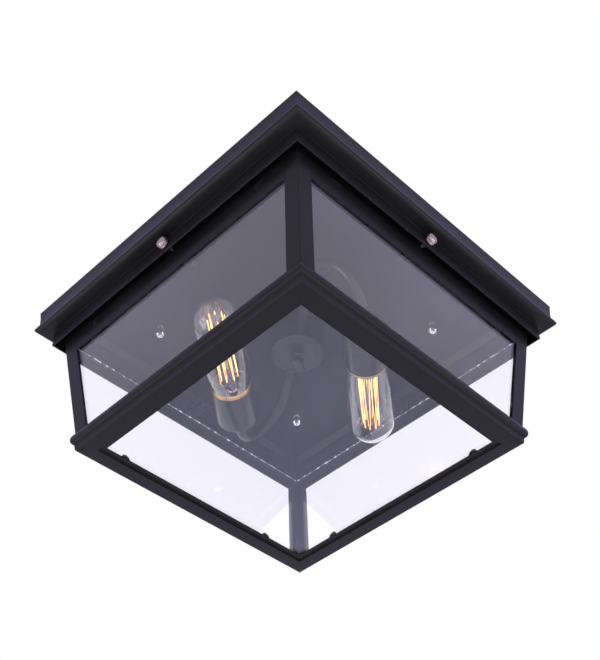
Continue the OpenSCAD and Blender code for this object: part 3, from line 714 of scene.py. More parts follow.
frame_outline = rounded(sheet_outline(frame_profile()[::-1], FRAME_SHEET), 0.3 * MM)
for side, quarter in SIDES.items():
    length = mitred(f"moulded_foot_{side}", frame_outline, quarter, "cage")
    dress(length, BLACK, "black_coat", f"bottom_frame_{side}")
print("bottom frame outline of", len(frame_outline), "points")

# %% [markdown]
# ## The deck
# The deck is a pressed tray: a raised field, a step, a lower border and a flange down
# the inside of the collar. Thin sheet never lies quite flat, so its field is dished by
# a few hundredths of a millimetre, which breaks up the reflections.

# %% Press the deck
DECK_TOP = -18.8 * MM
BORDER_TOP = -24 * MM
DECK_SHEET = 1.2 * MM
DISH = 0.09 * MM
FIELD_HALF = COLLAR_INNER - 14.5 * MM
FLANGE_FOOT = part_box("deck_plate")[0].z
HUB_HOLE = 5 * MM


def square_ring(half, z, per_side):
    """The outline of a square of the given half width, as points in order."""
    t = np.linspace(-1, 1, per_side, endpoint=False)
    front = grid(t * half, -half, z)
    return np.vstack([turned(front, k) for k in range(4)])


def press_deck():
    """A section of (half width, height) carried round a square. The inner points are
    spread over the field, and a sum of slow sines dishes it between its supports."""
    field = grid(np.linspace(HUB_HOLE, FIELD_HALF - 5.2 * MM, 26), DECK_TOP)
    path = np.vstack([field, [[FIELD_HALF, BORDER_TOP], [COLLAR_INNER, BORDER_TOP],
                              [COLLAR_INNER, FLANGE_FOOT]]])
    outline = rounded(sheet_outline(path[::-1], DECK_SHEET), 0.8 * MM)
    rings = np.array([square_ring(max(h, 0), z, 24) for h, z in outline])
    x, y = rings[..., 0], rings[..., 1]
    inside = np.clip(1 - np.maximum(abs(x), abs(y)) / FIELD_HALF, 0, 1)
    rings[..., 2] += DISH * np.minimum(1, 4 * inside) * (
        np.sin(41 * x + 1) * np.sin(37 * y) + 0.5 * np.sin(90 * x) * np.sin(77 * y + 2))
    return lofted("pressed_deck", rings, "canopy", closed=True)


dress(press_deck(), BLACK, "black_coat", "deck_plate")
print("deck pressed,", round(2 * FIELD_HALF, 3), "m field")

# %% [markdown]
# ## The cage's posts
# Each corner post is an angle of folded sheet that leans with the two panes beside
# it. An L-shaped outline, with a small radius on the outside of the fold, is lofted
# from the rails down to the floor of the bottom frame.

# %% Fold the posts
POST_W = 15.6 * MM
POST_TOP = CAGE_TOP + 1 * MM
POST_FOOT = FOOT + FRAME_SHEET


def fold_post(name, quarter_turns):
    """The outline (a, b) runs a along the front face and b along the right face from
    the corner, so at height z it lies at (h(z) - a, b - h(z), z)."""
    w, t = POST_W, CAGE_SHEET
    angle_iron = rounded([[0, 0], [0, w], [t, w], [t, t], [w, t], [w, 0]], 0.45 * MM, 4)
    z = np.linspace(POST_TOP, POST_FOOT, 24)[:, None]
    a, b = angle_iron.T
    half = cage_half(z)
    return lofted(name, turned(grid(half - a, b - half, z), quarter_turns), "cage")


for quarter, corner in enumerate(["front_right", "back_right", "back_left",
                                  "front_left"]):
    post = fold_post(f"folded_post_{corner}", quarter)
    dress(post, BLACK, "black_coat", f"post_{corner}")
print("posts from", round(POST_TOP, 4), "to", round(POST_FOOT, 4), "m")

# %% [markdown]
# ## Pieces that keep their measured outline
# The rails, clips, tabs, nuts and bracket are cut from plate, and the measured parts
# already have the right outline. Each is copied, its doubled points are merged, and a
# small bevel softens the edges. The bevel is what catches light on real cut plate.

# %% Soften the plate parts
def softened(name, node, body, width, finish, slot):
    """A merged copy of a measured part with every sharp edge bevelled."""
    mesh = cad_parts[node].data.copy()
    mesh.name = name
    piece = linked(name, mesh)
    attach(piece, body)
    work = bmesh.new()
    work.from_mesh(mesh)
    bmesh.ops.remove_doubles(work, verts=work.verts, dist=1e-6)
    bmesh.ops.dissolve_limit(work, angle_limit=math.radians(0.5), verts=work.verts,
                             edges=work.edges)
    work.to_mesh(mesh)
    work.free()
    bevel = piece.modifiers.new("bevel", "BEVEL")
    bevel.width, bevel.segments = width, 2
    bevel.limit_method, bevel.angle_limit = "ANGLE", math.radians(40)
    bevel.use_clamp_overlap = True
    bevel.harden_normals = True
    mesh.polygons.foreach_set("use_smooth", [True] * len(mesh.polygons))
    mesh.set_sharp_from_angle(angle=math.radians(50))
    return dress(piece, finish, slot, node)


for side in SIDES:
    softened(f"punched_rail_{side}", f"top_rail_{side}", "cage", 0.2 * MM, BLACK,
             "black_coat")
for node, width, body, finish, slot in (
        ("top_clips", 0.25, "cage", BLACK, "black_coat"),
        ("foot_clips", 0.3, "cage", BLACK, "black_coat"),
        ("screw_tabs", 0.3, "canopy", BLACK, "black_coat"),
        ("ceiling_bracket", 0.3, "canopy", ZINC, "zinc_plate"),
        ("pipe_nuts", 0.3, "canopy", ZINC, "zinc_plate"),
        ("arm_nuts", 0.3, "canopy", ZINC, "zinc_plate"),
        ("ground_screw", 0.2, "canopy", GREEN, "green_screw")):
    softened(f"soft_{node}", node, body, width * MM, finish, slot)
print("plate parts softened")

# %% [markdown]
# ## The panes
# Five sheets of 3 mm glass close the cage. Their cut edges are uneven, because a scored
# edge breaks in small shells, and white where chipped, with a painted glow. A closed loop
# round the thickness is carried across each pane, and smooth noise nibbles at the rows on the
# edge.

# %% Cut the panes
GLASS = 3 * MM
PANE_INSET = CAGE_SHEET + 0.3 * MM
PANE_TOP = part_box("pane_front")[1].z
PANE_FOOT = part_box("pane_front")[0].z
EDGE_BAND = 0.7 * MM
LEAN = math.atan(TAPER)


def slope_at(z, inset):
    """How far down the slope of the cage a height is, at a depth under its face."""
    return (z - inset * math.sin(LEAN)) / math.cos(LEAN)


def on_slope(along, slope, inset):
    """Points on the front slope, at a depth under its face: y = -h(0) - s sin(lean)
    + d cos(lean) and z = s cos(lean) + d sin(lean)."""
    return grid(along, -cage_half(0) - slope * math.sin(LEAN) + inset * math.cos(LEAN),
                slope * math.cos(LEAN) + inset * math.sin(LEAN))


def ripple(x, seed):
    """Smooth noise along a line: the mean of five sines with seeded phases."""
    rng = np.random.default_rng(seed)
    waves = rng.uniform(150, 1900, 5)
    phases = rng.uniform(0, 2 * np.pi, 5)
    return np.sin(waves * np.asarray(x)[..., None] + phases).mean(-1)


def cut_pane(name, quarter_turns, seed):
    """At each place u along the pane, a loop goes up the outer face and down the
    inner one. Its corner rows are pulled in by up to a chip's depth."""
    u = np.linspace(-1, 1, 160)[:, None]
    rows = 14
    v = np.concatenate([np.linspace(0, 1, rows), np.linspace(1, 0, rows)])[None]
    depth = np.concatenate([np.zeros(rows), np.ones(rows)])[None] * GLASS
    low, high = slope_at(PANE_FOOT, PANE_INSET), slope_at(PANE_TOP, PANE_INSET + GLASS)
    slope = low + (high - low) * v
    edge = PANE_INSET + GLASS + 1 * MM
    along = u * (cage_half(slope * math.cos(LEAN)) - edge)
    chips = 0.3 * MM * abs(ripple(along, seed)) * (v > 0.999)
    slope = slope - chips * (1 + depth / GLASS)
    sections = on_slope(along, slope, PANE_INSET + depth)
    return lofted(name, turned(sections, quarter_turns), "cage", sharp=math.radians(30))


for side, quarter in SIDES.items():
    pane = cut_pane(f"cut_pane_{side}", quarter, 10 + quarter)
    dress(pane, PANE, "pane_glass", f"pane_{side}")
    second_finish(pane, GROUND_EDGE, lambda at: at[:, 2] > PANE_TOP - EDGE_BAND)


def cut_bottom_pane():
    """A flat sheet with a softened arris: a loop round its thickness, carried over
    its width."""
    low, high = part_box("bottom_pane")
    bevel = 0.3 * MM
    loop = rounded([[low.y, low.z], [high.y, low.z], [high.y, high.z],
                    [low.y, high.z]], bevel, 2)
    x = np.linspace(low.x, high.x, 40)[:, None]
    return lofted("cut_bottom_pane", grid(x, *loop.T), "cage")


dress(cut_bottom_pane(), PANE, "pane_glass", "bottom_pane")
print("five panes cut,", round(1000 * GLASS, 1), "mm thick")

# %% [markdown]
# ## The hub and the finial
# Both are turned parts, so each is a profile of radius and height spun round the
# lantern's axis. The hub is a cup with a flat bottom, and the ball under it is the
# nut that holds everything together.

# %% Turn the hub and the finial
HUB_R = (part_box("hub_cup")[1].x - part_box("hub_cup")[0].x) / 2
HUB_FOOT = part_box("hub_cup")[0].z
HUB_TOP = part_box("hub_cup")[1].z
HUB_WALL = 1.5 * MM
BALL_R = 6.2 * MM


def standing(points):
    """Leaves points where they are: the lantern's own axis is z."""
    return np.asarray(points, float)


def turn_hub():
    """Outer wall with a rounded foot, then the inner wall back up."""
    edge = 2.5 * MM
    outer = np.vstack([[[4.9 * MM, HUB_FOOT]],
                       arc((HUB_R - edge, HUB_FOOT + edge), edge, -90, 0, 10),
                       [[HUB_R, HUB_TOP]]])
    return revolved("turned_hub", sheet_outline(outer, HUB_WALL), standing, "canopy", 128)


def turn_finial():
    """A collar, a thin neck and a ball, ending on the axis."""
    ball_z = HUB_FOOT - 4 * MM - BALL_R * 0.95
    collar = 6.2 * MM
    profile = np.vstack([[[0, HUB_FOOT], [collar - 0.3 * MM, HUB_FOOT],
                          [collar, HUB_FOOT - 0.3 * MM],
                          [collar, HUB_FOOT - 3.0 * MM],
                          [collar - 0.5 * MM, HUB_FOOT - 3.5 * MM],
                          [BALL_R * 0.6, HUB_FOOT - 4.4 * MM]],
                         arc((0, ball_z), BALL_R, 53, -90, 26)])
    profile[-1, 0] = 0
    return revolved("ball_finial", profile, standing, "canopy", 64)


dress(turn_hub(), GLOSS_BLACK, "black_coat", "hub_cup")
dress(turn_finial(), GLOSS_BLACK, "black_coat", "finial")
print("hub", round(2 * HUB_R, 4), "m across")

# %% [markdown]
# ## The bent arms
# Each arm is one tube with two bends. Its centre line runs straight, round an arc,
# straight, round a second arc and straight again, and a ring of points is carried
# along it square to the line.

# %% Bend the arms
LAMP_TURN = math.radians(39)
ARM_R = 4.75 * MM
ARM_Z = -40 * MM
ARM_REACH = 135 * MM
SPLAY = math.radians(15.3)
SOCKET = np.array([63.5, -8, -84]) * MM
AHEAD = np.array([0, 1, 0])
CUP_LENGTH = 46.5 * MM
BEND_R = 30 * MM
ARM_START = 16 * MM
ARM_IN_CUP = 6 * MM


def lamp_space(half_turns):
    """The function that turns a point of the right lamp's own axes about the
    lantern's axis to where that lamp hangs. The left lamp is half a turn on."""
    angle = LAMP_TURN + math.pi * half_turns
    c, s = math.cos(angle), math.sin(angle)

    def place(points):
        x, y, z = axes_of(points)
        return grid(c * x - s * y, s * x + c * y, z)
    return place


LAMPS = {"right": 0, "left": 1}


def bulb_space(side):
    """Points with z along the bulb from the cup's mouth, put where the bulb lies:
    (x, y, z) goes to the mouth's middle plus (x, z, -y) in the lamp's axes."""
    def place(points):
        x, y, z = axes_of(points)
        return lamp_space(LAMPS[side])(SOCKET + grid(x, z, -y))
    return place


def rounded_path(corners, radius, step):
    """Points along straight runs joined by arcs. At each corner the arc's centre lies
    on the bisector, r / sin(half angle) away, and it starts r / tan(half angle) back."""
    out = [corners[:1]]
    for before, here, after in zip(corners, corners[1:], corners[2:]):
        u, v = (before - here), (after - here)
        u, v = u / np.linalg.norm(u), v / np.linalg.norm(v)
        half = math.acos(u @ v) / 2
        middle = (u + v) / np.linalg.norm(u + v)
        centre = here + middle * radius / math.sin(half)
        first = here + u * radius / math.tan(half) - centre
        across = here + v * radius / math.tan(half) - centre
        sweep = math.pi - 2 * half
        side = across - first * math.cos(sweep)
        side /= np.linalg.norm(side)
        a = np.linspace(0, sweep, max(3, int(radius * sweep / step)))[:, None]
        out.append(centre + first * np.cos(a) + side * radius * np.sin(a))
    out.append(corners[-1:])
    return np.vstack(out)


def swept_tube(name, path, radius, body, sides, place):
    """A ring of points carried along a path. Each ring is square to the path, and its
    first axis is the last ring's with the part along the path taken away."""
    tangent = np.gradient(path, axis=0)
    tangent /= np.linalg.norm(tangent, axis=1, keepdims=True)
    first = np.cross(tangent[0], (0.31, 0.2, 0.93))
    axes = []
    for t in tangent:
        first = first - t * (first @ t)
        first = first / np.linalg.norm(first)
        axes.append(first)
    across = np.array(axes)
    other = np.cross(tangent, across)
    a = np.linspace(0, 2 * np.pi, sides, endpoint=False)[None, :, None]
    rings = path[:, None] + radius * (across[:, None] * np.cos(a) + other[:, None] * np.sin(a))
    return lofted(name, place(rings), body)


def arm_path():
    """The arm's four corners, in the lamp's axes, with its bends rounded."""
    out = np.array([math.sin(SPLAY), -math.cos(SPLAY), 0])
    rise = np.array([0, 0, ARM_Z])
    corners = np.array([out * ARM_START + rise, out * ARM_REACH + rise,
                        SOCKET - AHEAD * (CUP_LENGTH + BEND_R),
                        SOCKET - AHEAD * (CUP_LENGTH - ARM_IN_CUP)])
    return rounded_path(corners, BEND_R, 1.5 * MM)


for side, turn in LAMPS.items():
    arm = swept_tube(f"bent_arm_{side}", arm_path(), ARM_R, "canopy", 36,
                     lamp_space(turn))
    dress(arm, GLOSS_BLACK, "black_coat", f"arm_{side}")
print("arms of", len(arm_path()), "stations")

# %% [markdown]
# ## The socket cups
# A spun cup hides the lampholder. Its closed end is rounded, and the lampholder's
# brass sleeve stands out of its mouth, with a rolled edge and a lip on the cup.

# %% Spin the cups
CUP_MOUTH_R = 19.3 * MM
CUP_END_R = 20.2 * MM
CUP_WALL = 1.2 * MM


def spin_cup(side):
    """Closed end, rounded shoulder and a wall that narrows to the mouth."""
    shoulder = 5 * MM
    outer = np.vstack([[[4.8 * MM, -CUP_LENGTH]],
                       arc((CUP_END_R - shoulder, -CUP_LENGTH + shoulder), shoulder,
                           -90, 0, 12), [[CUP_MOUTH_R, 0]]])
    outline = rounded(sheet_outline(outer, CUP_WALL), 0.35 * MM)
    return revolved(f"spun_cup_{side}", outline, bulb_space(side), "canopy", 96)


SLEEVE_OUT = 4 * MM
SLEEVE_R = CUP_MOUTH_R - CUP_WALL - 0.05 * MM
SLEEVE_BACK = -CUP_LENGTH + CUP_WALL + 7 * MM


def spin_sleeve(side):
    """A thin tube whose front edge is rolled to a bead and whose lip covers the edge
    of the cup."""
    lip, wall, roll = 0.5 * MM, 0.5 * MM, 0.45 * MM
    bead = arc((SLEEVE_R - roll, SLEEVE_OUT - roll), roll, 0, 180, 8)
    outline = np.vstack([
        [[SLEEVE_R, SLEEVE_BACK], [SLEEVE_R, 0.02 * MM], [CUP_MOUTH_R - 0.1 * MM, 0.02 * MM],
         [CUP_MOUTH_R - 0.1 * MM, lip], [SLEEVE_R, lip + 0.1 * MM]], bead,
        [[SLEEVE_R - wall, SLEEVE_OUT - 2 * roll], [SLEEVE_R - wall, SLEEVE_BACK]]])
    return revolved(f"spun_sleeve_{side}", outline, bulb_space(side), "canopy", 96)


for side in LAMPS:
    dress(spin_cup(side), GLOSS_BLACK, "black_coat", f"cup_{side}")
    dress(spin_sleeve(side), BRASS, "brass", f"socket_shell_{side}")
print("cups", round(2000 * CUP_MOUTH_R, 1), "mm at the mouth")

# %% [markdown]
# ## The bulbs
# Each bulb is a tube of thin glass with a round end and a brass screw cap. The glass
# has an outer and an inner skin, because light bends twice on its way through. The
# cap's thread is a true helix: the radius swells where height minus turns is near a
# whole pitch.

# %% Blow the bulbs
BULB_R = 22.5 * MM
BULB_END = 104 * MM
GLASS_WALL = 0.9 * MM
CAP_R = 13.1 * MM
THREAD = 0.55 * MM
CAP_WALL = 0.5 * MM
CAP_FRONT = -12 * MM
CAP_BACK = -35 * MM
NECK_R = CAP_R - THREAD - CAP_WALL - 0.05 * MM
PITCH = 3.63 * MM


def bulb_outline():
    """Neck, a smooth swell to full width 34 mm past the mouth, and a half-round end."""
    full = 34 * MM
    t = np.linspace(0, 1, 26)[1:-1]
    ease = t * t * (3 - 2 * t)
    start = CAP_FRONT + 0.5 * MM
    swell = grid(NECK_R + (BULB_R - NECK_R) * np.sin(np.pi / 2 * t) ** 0.9,
                 start + (full - start) * (0.15 * t + 0.85 * ease))
    end = arc((0, BULB_END - BULB_R), BULB_R, 0, 90, 26)
    end[-1, 0] = 0
    return np.vstack([[[NECK_R, CAP_FRONT - 5 * MM], [NECK_R, start]], swell,
                      [[BULB_R, full]], end])


def blow_bulb(side):
    """The outer skin from the tip to the neck and the inner skin back to the tip. Both
    ends of the profile lie on the axis, so each tip closes in one point."""
    outer = bulb_outline()
    inner = moved_sideways(outer, GLASS_WALL)
    inner[-1, 0] = 0
    return revolved(f"blown_bulb_{side}", np.vstack([outer[::-1], inner]),
                    bulb_space(side), f"bulb_{side}", 96)


def form_cap(side):
    """A thin brass shell. Over the thread its radius is r + d (1 - cos 2 pi p) / 2,
    where p is height over pitch less the share of a turn, faded out at both ends."""
    r = CAP_R - THREAD
    z = np.linspace(CAP_BACK + 3 * MM, CAP_FRONT - 2 * MM, 110)
    outer = np.vstack([[[5 * MM, CAP_BACK + 0.8 * MM], [r - 1.5 * MM, CAP_BACK + 0.8 * MM],
                        [r - 0.4 * MM, CAP_BACK + 1.7 * MM]],
                       grid(np.full(z.size, r), z),
                       [[r, CAP_FRONT]]])
    inner = [[r - CAP_WALL, CAP_FRONT], [r - CAP_WALL, CAP_BACK + 3 * MM],
             [r - 1.9 * MM, CAP_BACK + 1.3 * MM], [5 * MM, CAP_BACK + 1.3 * MM]]

    def thread(radius, angle, height):
        phase = (height - CAP_BACK) / PITCH - angle / (2 * np.pi)
        low = np.clip((height - CAP_BACK - 3 * MM) / (2 * MM), 0, 1)
        high = np.clip((CAP_FRONT - 2 * MM - height) / (2 * MM), 0, 1)
        on_wall = abs(radius - r) < 1e-6
        swell = THREAD / 2 * (1 - np.cos(2 * np.pi * phase)) * low * high
        return radius + on_wall * swell
    return revolved(f"screw_cap_{side}", np.vstack([outer, inner]),
                    bulb_space(side), f"bulb_{side}", 72, bend=thread)


def form_tip(side):
    """Black glass insulator with a button of solder in its middle."""
    base = CAP_BACK - 1 * MM
    profile = np.array([[0, CAP_BACK + 3.2 * MM], [4.9 * MM, CAP_BACK + 3.2 * MM],
                        [4.9 * MM, CAP_BACK], [4.5 * MM, CAP_BACK - 0.4 * MM],
                        [3.4 * MM, base + 0.2 * MM], [2.0 * MM, base], [0, base]])
    return revolved(f"cap_tip_{side}", profile, bulb_space(side),
                    f"bulb_{side}", 48)


ROD_R = 1.1 * MM
ROD_END = BULB_END - 15 * MM


def draw_stem(side):
    """A flare fused in the neck, a flat press with the lead wires, and a thin rod.
    The press is flattened by scaling one axis of each ring."""
    flare = NECK_R - GLASS_WALL
    knots = np.array([[0, -17], [flare / MM, -17], [flare / MM, -15.5],
                      [flare / MM * 0.55, -8], [3.6, -2], [3.2, 7], [2.2, 9.5],
                      [1.3, 11.2], [1.1, 12], [1.1, ROD_END / MM - 0.6],
                      [0.7, ROD_END / MM], [0, ROD_END / MM]]) * MM
    fine = [knots[:2]]
    for a, b in zip(knots[1:-2], knots[2:-1]):
        t = np.linspace(0, 1, 7)[1:, None]
        fine.append(a + (b - a) * t)
    profile = np.vstack([*fine, knots[-1:]])

    def press(radius, angle, height):
        flat = np.exp(-((height - 2 * MM) / (6 * MM)) ** 2)
        return radius * (1 - 0.42 * flat * np.abs(np.sin(angle)))
    return revolved(f"glass_stem_{side}", profile, bulb_space(side),
                    f"bulb_{side}", 40, bend=press)


for side in LAMPS:
    dress(blow_bulb(side), BULB, "bulb_glass", f"bulb_glass_{side}")
    dress(form_cap(side), BRASS, "brass", f"bulb_cap_{side}")
    dress(form_tip(side), SOLDER, "insulator", f"bulb_tip_{side}")
    dress(draw_stem(side), STEM, "bulb_glass", f"stem_{side}")
print("two bulbs,", round(1000 * (BULB_END - CAP_BACK)), "mm long")

# %% [markdown]
# ## The filaments
# The filament is a squirrel cage: one long wire that zigzags between two rings of
# small hooks on the stem's rod. The wire's path is worked out in cylindrical
# coordinates and swept with a thin ring, like the arms.

# %% String the filaments
HAIRPINS = 8
STRANDS = 2 * HAIRPINS
CAGE_R = 9.0 * MM
CAGE_LOW = 14 * MM
CAGE_HIGH = ROD_END - 2 * MM
LEAD_AT = 3 * MM
WIRE_R = 0.22 * MM
HOOK_R = 0.18 * MM
LEAD_R = 0.3 * MM


def hook_angles():
    """The angle of each turn of the wire. Real hooks are bent by hand, so each one is
    off its even place by up to a quarter of a step."""
    even = np.arange(STRANDS + 1) * 2 * np.pi / (STRANDS + 1)
    return even + np.random.default_rng(5).uniform(-0.25, 0.25, even.size) * even[1]


def hairpin_path():
    """Straight strands up and down between the two rings of hooks. The height is a
    flattened cosine, so the turns are round, and the first and last strands start
    lower, on the two leads."""
    t = np.linspace(0, STRANDS, STRANDS * 36 + 1)
    wave = (0.5 - 0.5 * np.cos(np.pi * t)) ** 0.8
    low = np.where((t < 1) | (t > STRANDS - 1), LEAD_AT, CAGE_LOW)
    height = low + (CAGE_HIGH - low) * wave
    angle = np.interp(t, np.arange(STRANDS + 1), hook_angles())
    radius = CAGE_R * (1 - 0.12 * (height - CAGE_LOW) / (CAGE_HIGH - CAGE_LOW))
    return grid(radius * np.cos(angle), radius * np.sin(angle), height)


def hook_path(k):
    """A hook that leaves the rod, sags a little and ends at turn k of the wire."""
    at_top = k % 2
    height = CAGE_HIGH if at_top else CAGE_LOW
    reach = np.linspace(ROD_R * 0.6, CAGE_R * (0.9 if at_top else 1.02), 8)
    sag = 1.2 * MM * np.sin(np.pi * reach / CAGE_R) * (1 - 2 * at_top)
    angle = hook_angles()[k]
    return grid(reach * np.cos(angle), reach * np.sin(angle), height + sag)


def lead_path(k):
    """A lead from the press of the stem out to the first or the last strand."""
    angle = hook_angles()[k]
    out = np.array([2.2, 2.0, 3.5, CAGE_R / MM]) * MM
    height = np.array([-8, -2, 0.5, LEAD_AT / MM]) * MM
    return grid(out * math.cos(angle), out * math.sin(angle), height)


def joined(pieces):
    """Joins objects into the first of them, which keeps its name."""
    with bpy.context.temp_override(active_object=pieces[0],
                                   selected_editable_objects=pieces):
        bpy.ops.object.join()
    return pieces[0]


def string_filament(side):
    """The hairpin wire, then its hooks and its two leads in a second, duller piece."""
    place, body = bulb_space(side), f"bulb_{side}"
    wire = swept_tube(f"filament_wire_{side}", hairpin_path(), WIRE_R, body, 8, place)
    dress(wire, FILAMENT, "filament_wire", f"filament_{side}")
    parts = [swept_tube(f"hook_{side}_{k}" if k > 1 else f"filament_hooks_{side}",
                        hook_path(k), HOOK_R, body, 6, place) for k in range(1, STRANDS)]
    parts += [swept_tube(f"lead_{side}_{k}", lead_path(k), LEAD_R, body, 8, place)
              for k in (0, STRANDS)]
    dress(joined(parts), SOLDER, "filament_wire")


for side in LAMPS:
    string_filament(side)
print(STRANDS, "strands a bulb")

# %% [markdown]
# ## Thumb screws and cap nuts
# The bright metal is what the eye finds first. A thumb screw has a knurled head: its
# radius dips to a groove many times round, and its shank is oiled steel. Its tip goes
# into a threaded barrel, and dark half-round plates fill the notches beside it: painted
# shade for the dark of the open notches. A cap nut is a hexagon with a ball below it,
# and the smaller of a hexagon's and a cone's radius gives the hexagon its chamfers.

# %% Turn the bright screws and nuts
HEAD_R = 5.7 * MM
HEAD_FOOT = COLLAR_HALF + 0.3 * MM
HEAD_L = 7.4 * MM
SHANK_R = 3.0 * MM
TIP_R = 2.0 * MM
SHOULDER = cage_half(CAGE_TOP) + 0.3 * MM
TIP_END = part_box("thumb_screw_right")[0].x


def screw_space(quarter):
    """Points with z outwards from the lantern's axis, at the screw on one side."""
    def place(points):
        x, y, z = axes_of(points)
        return turned(grid(x, -z, SCREW_Z + y), quarter)
    return place


def turn_thumb_screw(side):
    """Threaded tip, plain shank and knurled head with a domed face. Over the knurl the
    radius is r - d |sin(10 a)|, and over the tip it follows a fine helix."""
    dome, ring = 1.6 * MM, 0.5 * MM
    tip = np.linspace(TIP_END + 0.5 * MM, SHOULDER - 1 * MM, 90)
    knurl = np.linspace(HEAD_FOOT + ring, HEAD_FOOT + HEAD_L - dome - ring, 6)
    face = arc((0, 0), 1, 90, 0, 8)[::-1]
    domed = grid((HEAD_R - ring) * face[:, 0],
                 HEAD_FOOT + HEAD_L - dome + dome * face[:, 1])
    domed[-1, 0] = 0
    profile = np.vstack([
        [[0, TIP_END], [TIP_R - 0.5 * MM, TIP_END]],
        grid(np.full(tip.size, TIP_R), tip),
        [[TIP_R, SHOULDER], [SHANK_R - 0.2 * MM, SHOULDER],
         [SHANK_R, SHOULDER + 0.2 * MM], [SHANK_R, HEAD_FOOT],
         [HEAD_R - ring, HEAD_FOOT]],
        grid(np.full(knurl.size, HEAD_R), knurl), domed])

    def shape(radius, angle, height):
        on_tip = abs(radius - TIP_R) < 1e-7
        thread = 0.25 * MM * (0.5 - 0.5 * np.cos(2 * np.pi * height / (0.7 * MM) - angle))
        on_knurl = abs(radius - HEAD_R) < 1e-7
        groove = 0.4 * MM * np.abs(np.sin(10 * angle)) ** 3
        return radius - on_tip * thread - on_knurl * groove
    return revolved(f"knurled_screw_{side}", profile, screw_space(SIDES[side]),
                    f"thumb_screw_{side}", 120, bend=shape)


BARREL_R = 5.5 * MM
BARREL_L = 24 * MM
BARREL_BACK = 14 * MM
NOTCH_R = 4.6 * MM
NOTCH_AT = cage_half(CAGE_TOP) - 48 * MM
NOTCH_FACES = np.array([[0.3], [1.4]]) * MM


def turn_barrel(side):
    """The threaded barrel behind a top rail, a ring round the tip of its screw."""
    bore, foot, edge = TIP_R + 0.1 * MM, TIP_END - BARREL_BACK, 0.5 * MM
    profile = [[bore, foot], [BARREL_R - edge, foot], [BARREL_R, foot + edge],
               [BARREL_R, foot + BARREL_L], [bore, foot + BARREL_L]]
    return revolved(f"threaded_barrel_{side}", profile, screw_space(SIDES[side]),
                    "canopy", 48)


def fill_notch_shade(side, hand):
    """A dark half-round plate that fills a rail's notch, painted shade for the open notch: a
    half circle carried through the thickness of the rail and laid on the rail's slope."""
    angle = np.radians(np.linspace(180, 360, 25))[None]
    sections = on_slope(hand * NOTCH_AT + NOTCH_R * np.cos(angle),
                        slope_at(PANE_TOP, PANE_INSET) + NOTCH_R * np.sin(angle), NOTCH_FACES)
    return lofted(f"notch_shade_plate_{side}_{'ab'[hand > 0]}", turned(sections, SIDES[side]),
                  "cage", sharp=math.radians(30))


NUT_AF = 6.2 * MM
NUT_H = 15.6 * MM
NUT_NECK_R = 2.5 * MM
NUT_BALL_R = 5.2 * MM
NUT_SPACING = 183 * MM
NUT_TOP = DECK_TOP - DECK_SHEET
HEX_SHARE = 0.26
STEEL_SHARE = 0.3


def turn_cap_nut(name, x, y):
    """A hexagon's radius is f / cos(a), with a the angle from the middle of a flat. Its
    chamfers are cones, and below it a ball hangs on a short neck."""
    hexagon = NUT_H * HEX_SHARE
    ball_r = NUT_BALL_R
    zs = np.linspace(0.05, 1, 12) * hexagon
    flat = grid(np.full(zs.size, 1.0), NUT_TOP - zs)
    start = math.degrees(math.acos(NUT_NECK_R / ball_r))
    ball = arc((0, NUT_TOP - NUT_H + ball_r), ball_r, start, -90, 20)
    ball[-1, 0] = 0
    profile = np.vstack([[[0, NUT_TOP], [0.5 * MM, NUT_TOP]], flat,
                         [[NUT_NECK_R, NUT_TOP - hexagon - 0.1 * MM]], ball])

    def shape(radius, angle, height):
        step = np.pi / 3
        from_flat = (angle + step / 2) % step - step / 2
        six = NUT_AF / 2 / np.cos(from_flat)
        cone = NUT_AF / 2 + (height - (NUT_TOP - hexagon)) * 1.6
        seat = NUT_AF / 2 + 0.2 * MM + (NUT_TOP - height) * 1.7
        return np.where(radius > 0.5, np.minimum(np.minimum(six, cone), seat), radius)

    def place(points):
        return np.asarray(points, float) + np.array([x, y, 0])
    return revolved(name, profile, place, "canopy", 96, bend=shape)


for side in SIDES:
    screw = dress(turn_thumb_screw(side), WORN_NICKEL, "bright_nickel",
                  f"thumb_screw_{side}")
    second_finish(screw, DARK_STEEL, lambda at: np.abs(at[:, :2]).max(1) < HEAD_FOOT)
    dress(turn_barrel(side), BLACK, "black_coat")
    for hand in (-1, 1):
        # painted shade: a dark plate fills each half-round notch of the rail
        dress(fill_notch_shade(side, hand), DARK_STEEL, "black_coat")
corners = [(sx * NUT_SPACING / 2, sy * NUT_SPACING / 2) for sx in (-1, 1) for sy in (-1, 1)]
for k, (x, y) in enumerate(corners):
    nut = turn_cap_nut(f"cap_nut_{k}", x, y)
    dress(nut, NICKEL, "bright_nickel", *(["cap_nuts"] if k == 0 else []))
    second_finish(nut, WORN_NICKEL, lambda at: at[:, 2] > NUT_TOP - STEEL_SHARE * NUT_H)
print("four thumb screws and", len(corners), "cap nuts")

# %% [markdown]
# ## Finishes for the parts that stay
# Some measured parts are plain turned or hidden pieces whose shape needs nothing more,
# so they only get a finish.

# %% Dress the remaining parts
STAYING = {
    ZINC: ["bracket_studs", "hub_pipe"],
    GLOSS_BLACK: ["set_screws"],
    BRASS: ["screw_shell_right", "screw_shell_left", "socket_contacts"],
    INSULATOR: ["socket_core_right", "socket_core_left"],
}
for finish, nodes in STAYING.items():
    for node in nodes:
        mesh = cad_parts[node].data
        mesh.materials.clear()
        mesh.materials.append(finish)
print(sum(map(len, STAYING.values())), "measured parts dressed")

# %% [markdown]
# ## Stage and light
# The photograph was taken in a white tent. A pale floor lies well below the lantern,
# the world is white to the camera and in reflections, and three broad lamps give the
# soft bright lines on the beads. A plain level of light keeps the colours true.

# %% Light the stage
FLOOR_Z = -1.45
FLOOR_HALF = 4.0
FLOOR_SHEEN = (0.24, 0.24, 0.48, 1)
DIFFUSE_LIGHT = (0.75, 0.75, 0.80)
GLOSS_LIGHT = (0.74, 0.70, 1.12)
GLASS_LIGHT = (1.07, 1.05, 1.12)


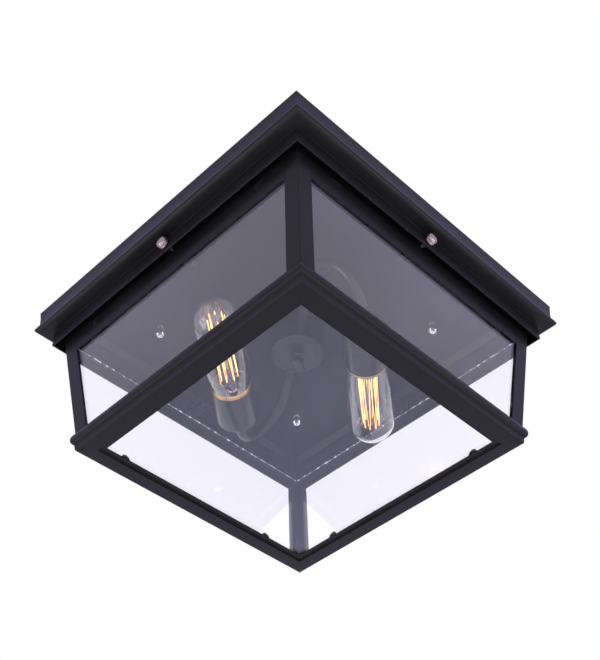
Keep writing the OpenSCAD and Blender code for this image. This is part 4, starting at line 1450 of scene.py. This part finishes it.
def lay_floor():
    """A pale square floor, far enough below for the camera to look up from above it.
    In reflections it is a little brighter and bluer, like the cloth in the photograph."""
    corners = np.array([[-1, -1, 0], [1, -1, 0], [1, 1, 0], [-1, 1, 0]]) * FLOOR_HALF
    mesh = bpy.data.meshes.new("floor")
    mesh.from_pydata((corners + [0, 0, FLOOR_Z]).tolist(), [], [(0, 1, 2, 3)])
    floor = linked("floor", mesh)
    made, tree, shader, _ = material("pale_floor")
    shader.inputs["Base Color"].default_value = (0.84, 0.82, 0.92, 1)
    shader.inputs["Roughness"].default_value = 0.9
    shader.inputs["Emission Color"].default_value = FLOOR_SHEEN
    mirrored = add(tree, "ShaderNodeLightPath").outputs["Is Glossy Ray"]
    tree.links.new(mirrored, shader.inputs["Emission Strength"])
    mesh.materials.append(made)


def light_world():
    """White to the camera and through glass, a lavender grey in reflections, as the
    tent's cloth looked in the photograph, and a plain light on the surfaces."""
    world = bpy.data.worlds.new("white_tent")
    bpy.context.scene.world = world
    world.use_nodes = True
    tree = world.node_tree
    tree.nodes.clear()
    path = add(tree, "ShaderNodeLightPath").outputs
    plain = mixed(tree, path["Is Glossy Ray"], DIFFUSE_LIGHT, GLOSS_LIGHT)
    through = mixed(tree, path["Is Transmission Ray"], plain, GLASS_LIGHT)
    colour = mixed(tree, path["Is Camera Ray"], through, (1.0, 1.0, 1.0))
    background = add(tree, "ShaderNodeBackground", {"Color": colour, "Strength": 1.0})
    output = add(tree, "ShaderNodeOutputWorld")
    tree.links.new(background.outputs[0], output.inputs["Surface"])


def hang_lamp(name, place, target, size, power):
    """A square area lamp that faces a point."""
    data = bpy.data.lights.new(name, "AREA")
    data.shape, data.size, data.energy = "SQUARE", size, power
    lamp = linked(name, data)
    lamp.location = place
    lamp.rotation_euler = (Vector(target) - Vector(place)).to_track_quat("-Z", "Y").to_euler()


lay_floor()
light_world()
hang_lamp("left_softbox", (-0.6, -1.3, -0.7), (0, 0, -0.1), 1.0, 9)
hang_lamp("right_softbox", (1.5, 0.5, -0.6), (0, 0, -0.1), 1.0, 9)
hang_lamp("low_softbox", (0.2, -0.2, -1.35), (0, 0, -0.1), 1.2, 6)
bpy.context.scene.view_settings.view_transform = "Standard"
print("stage set")
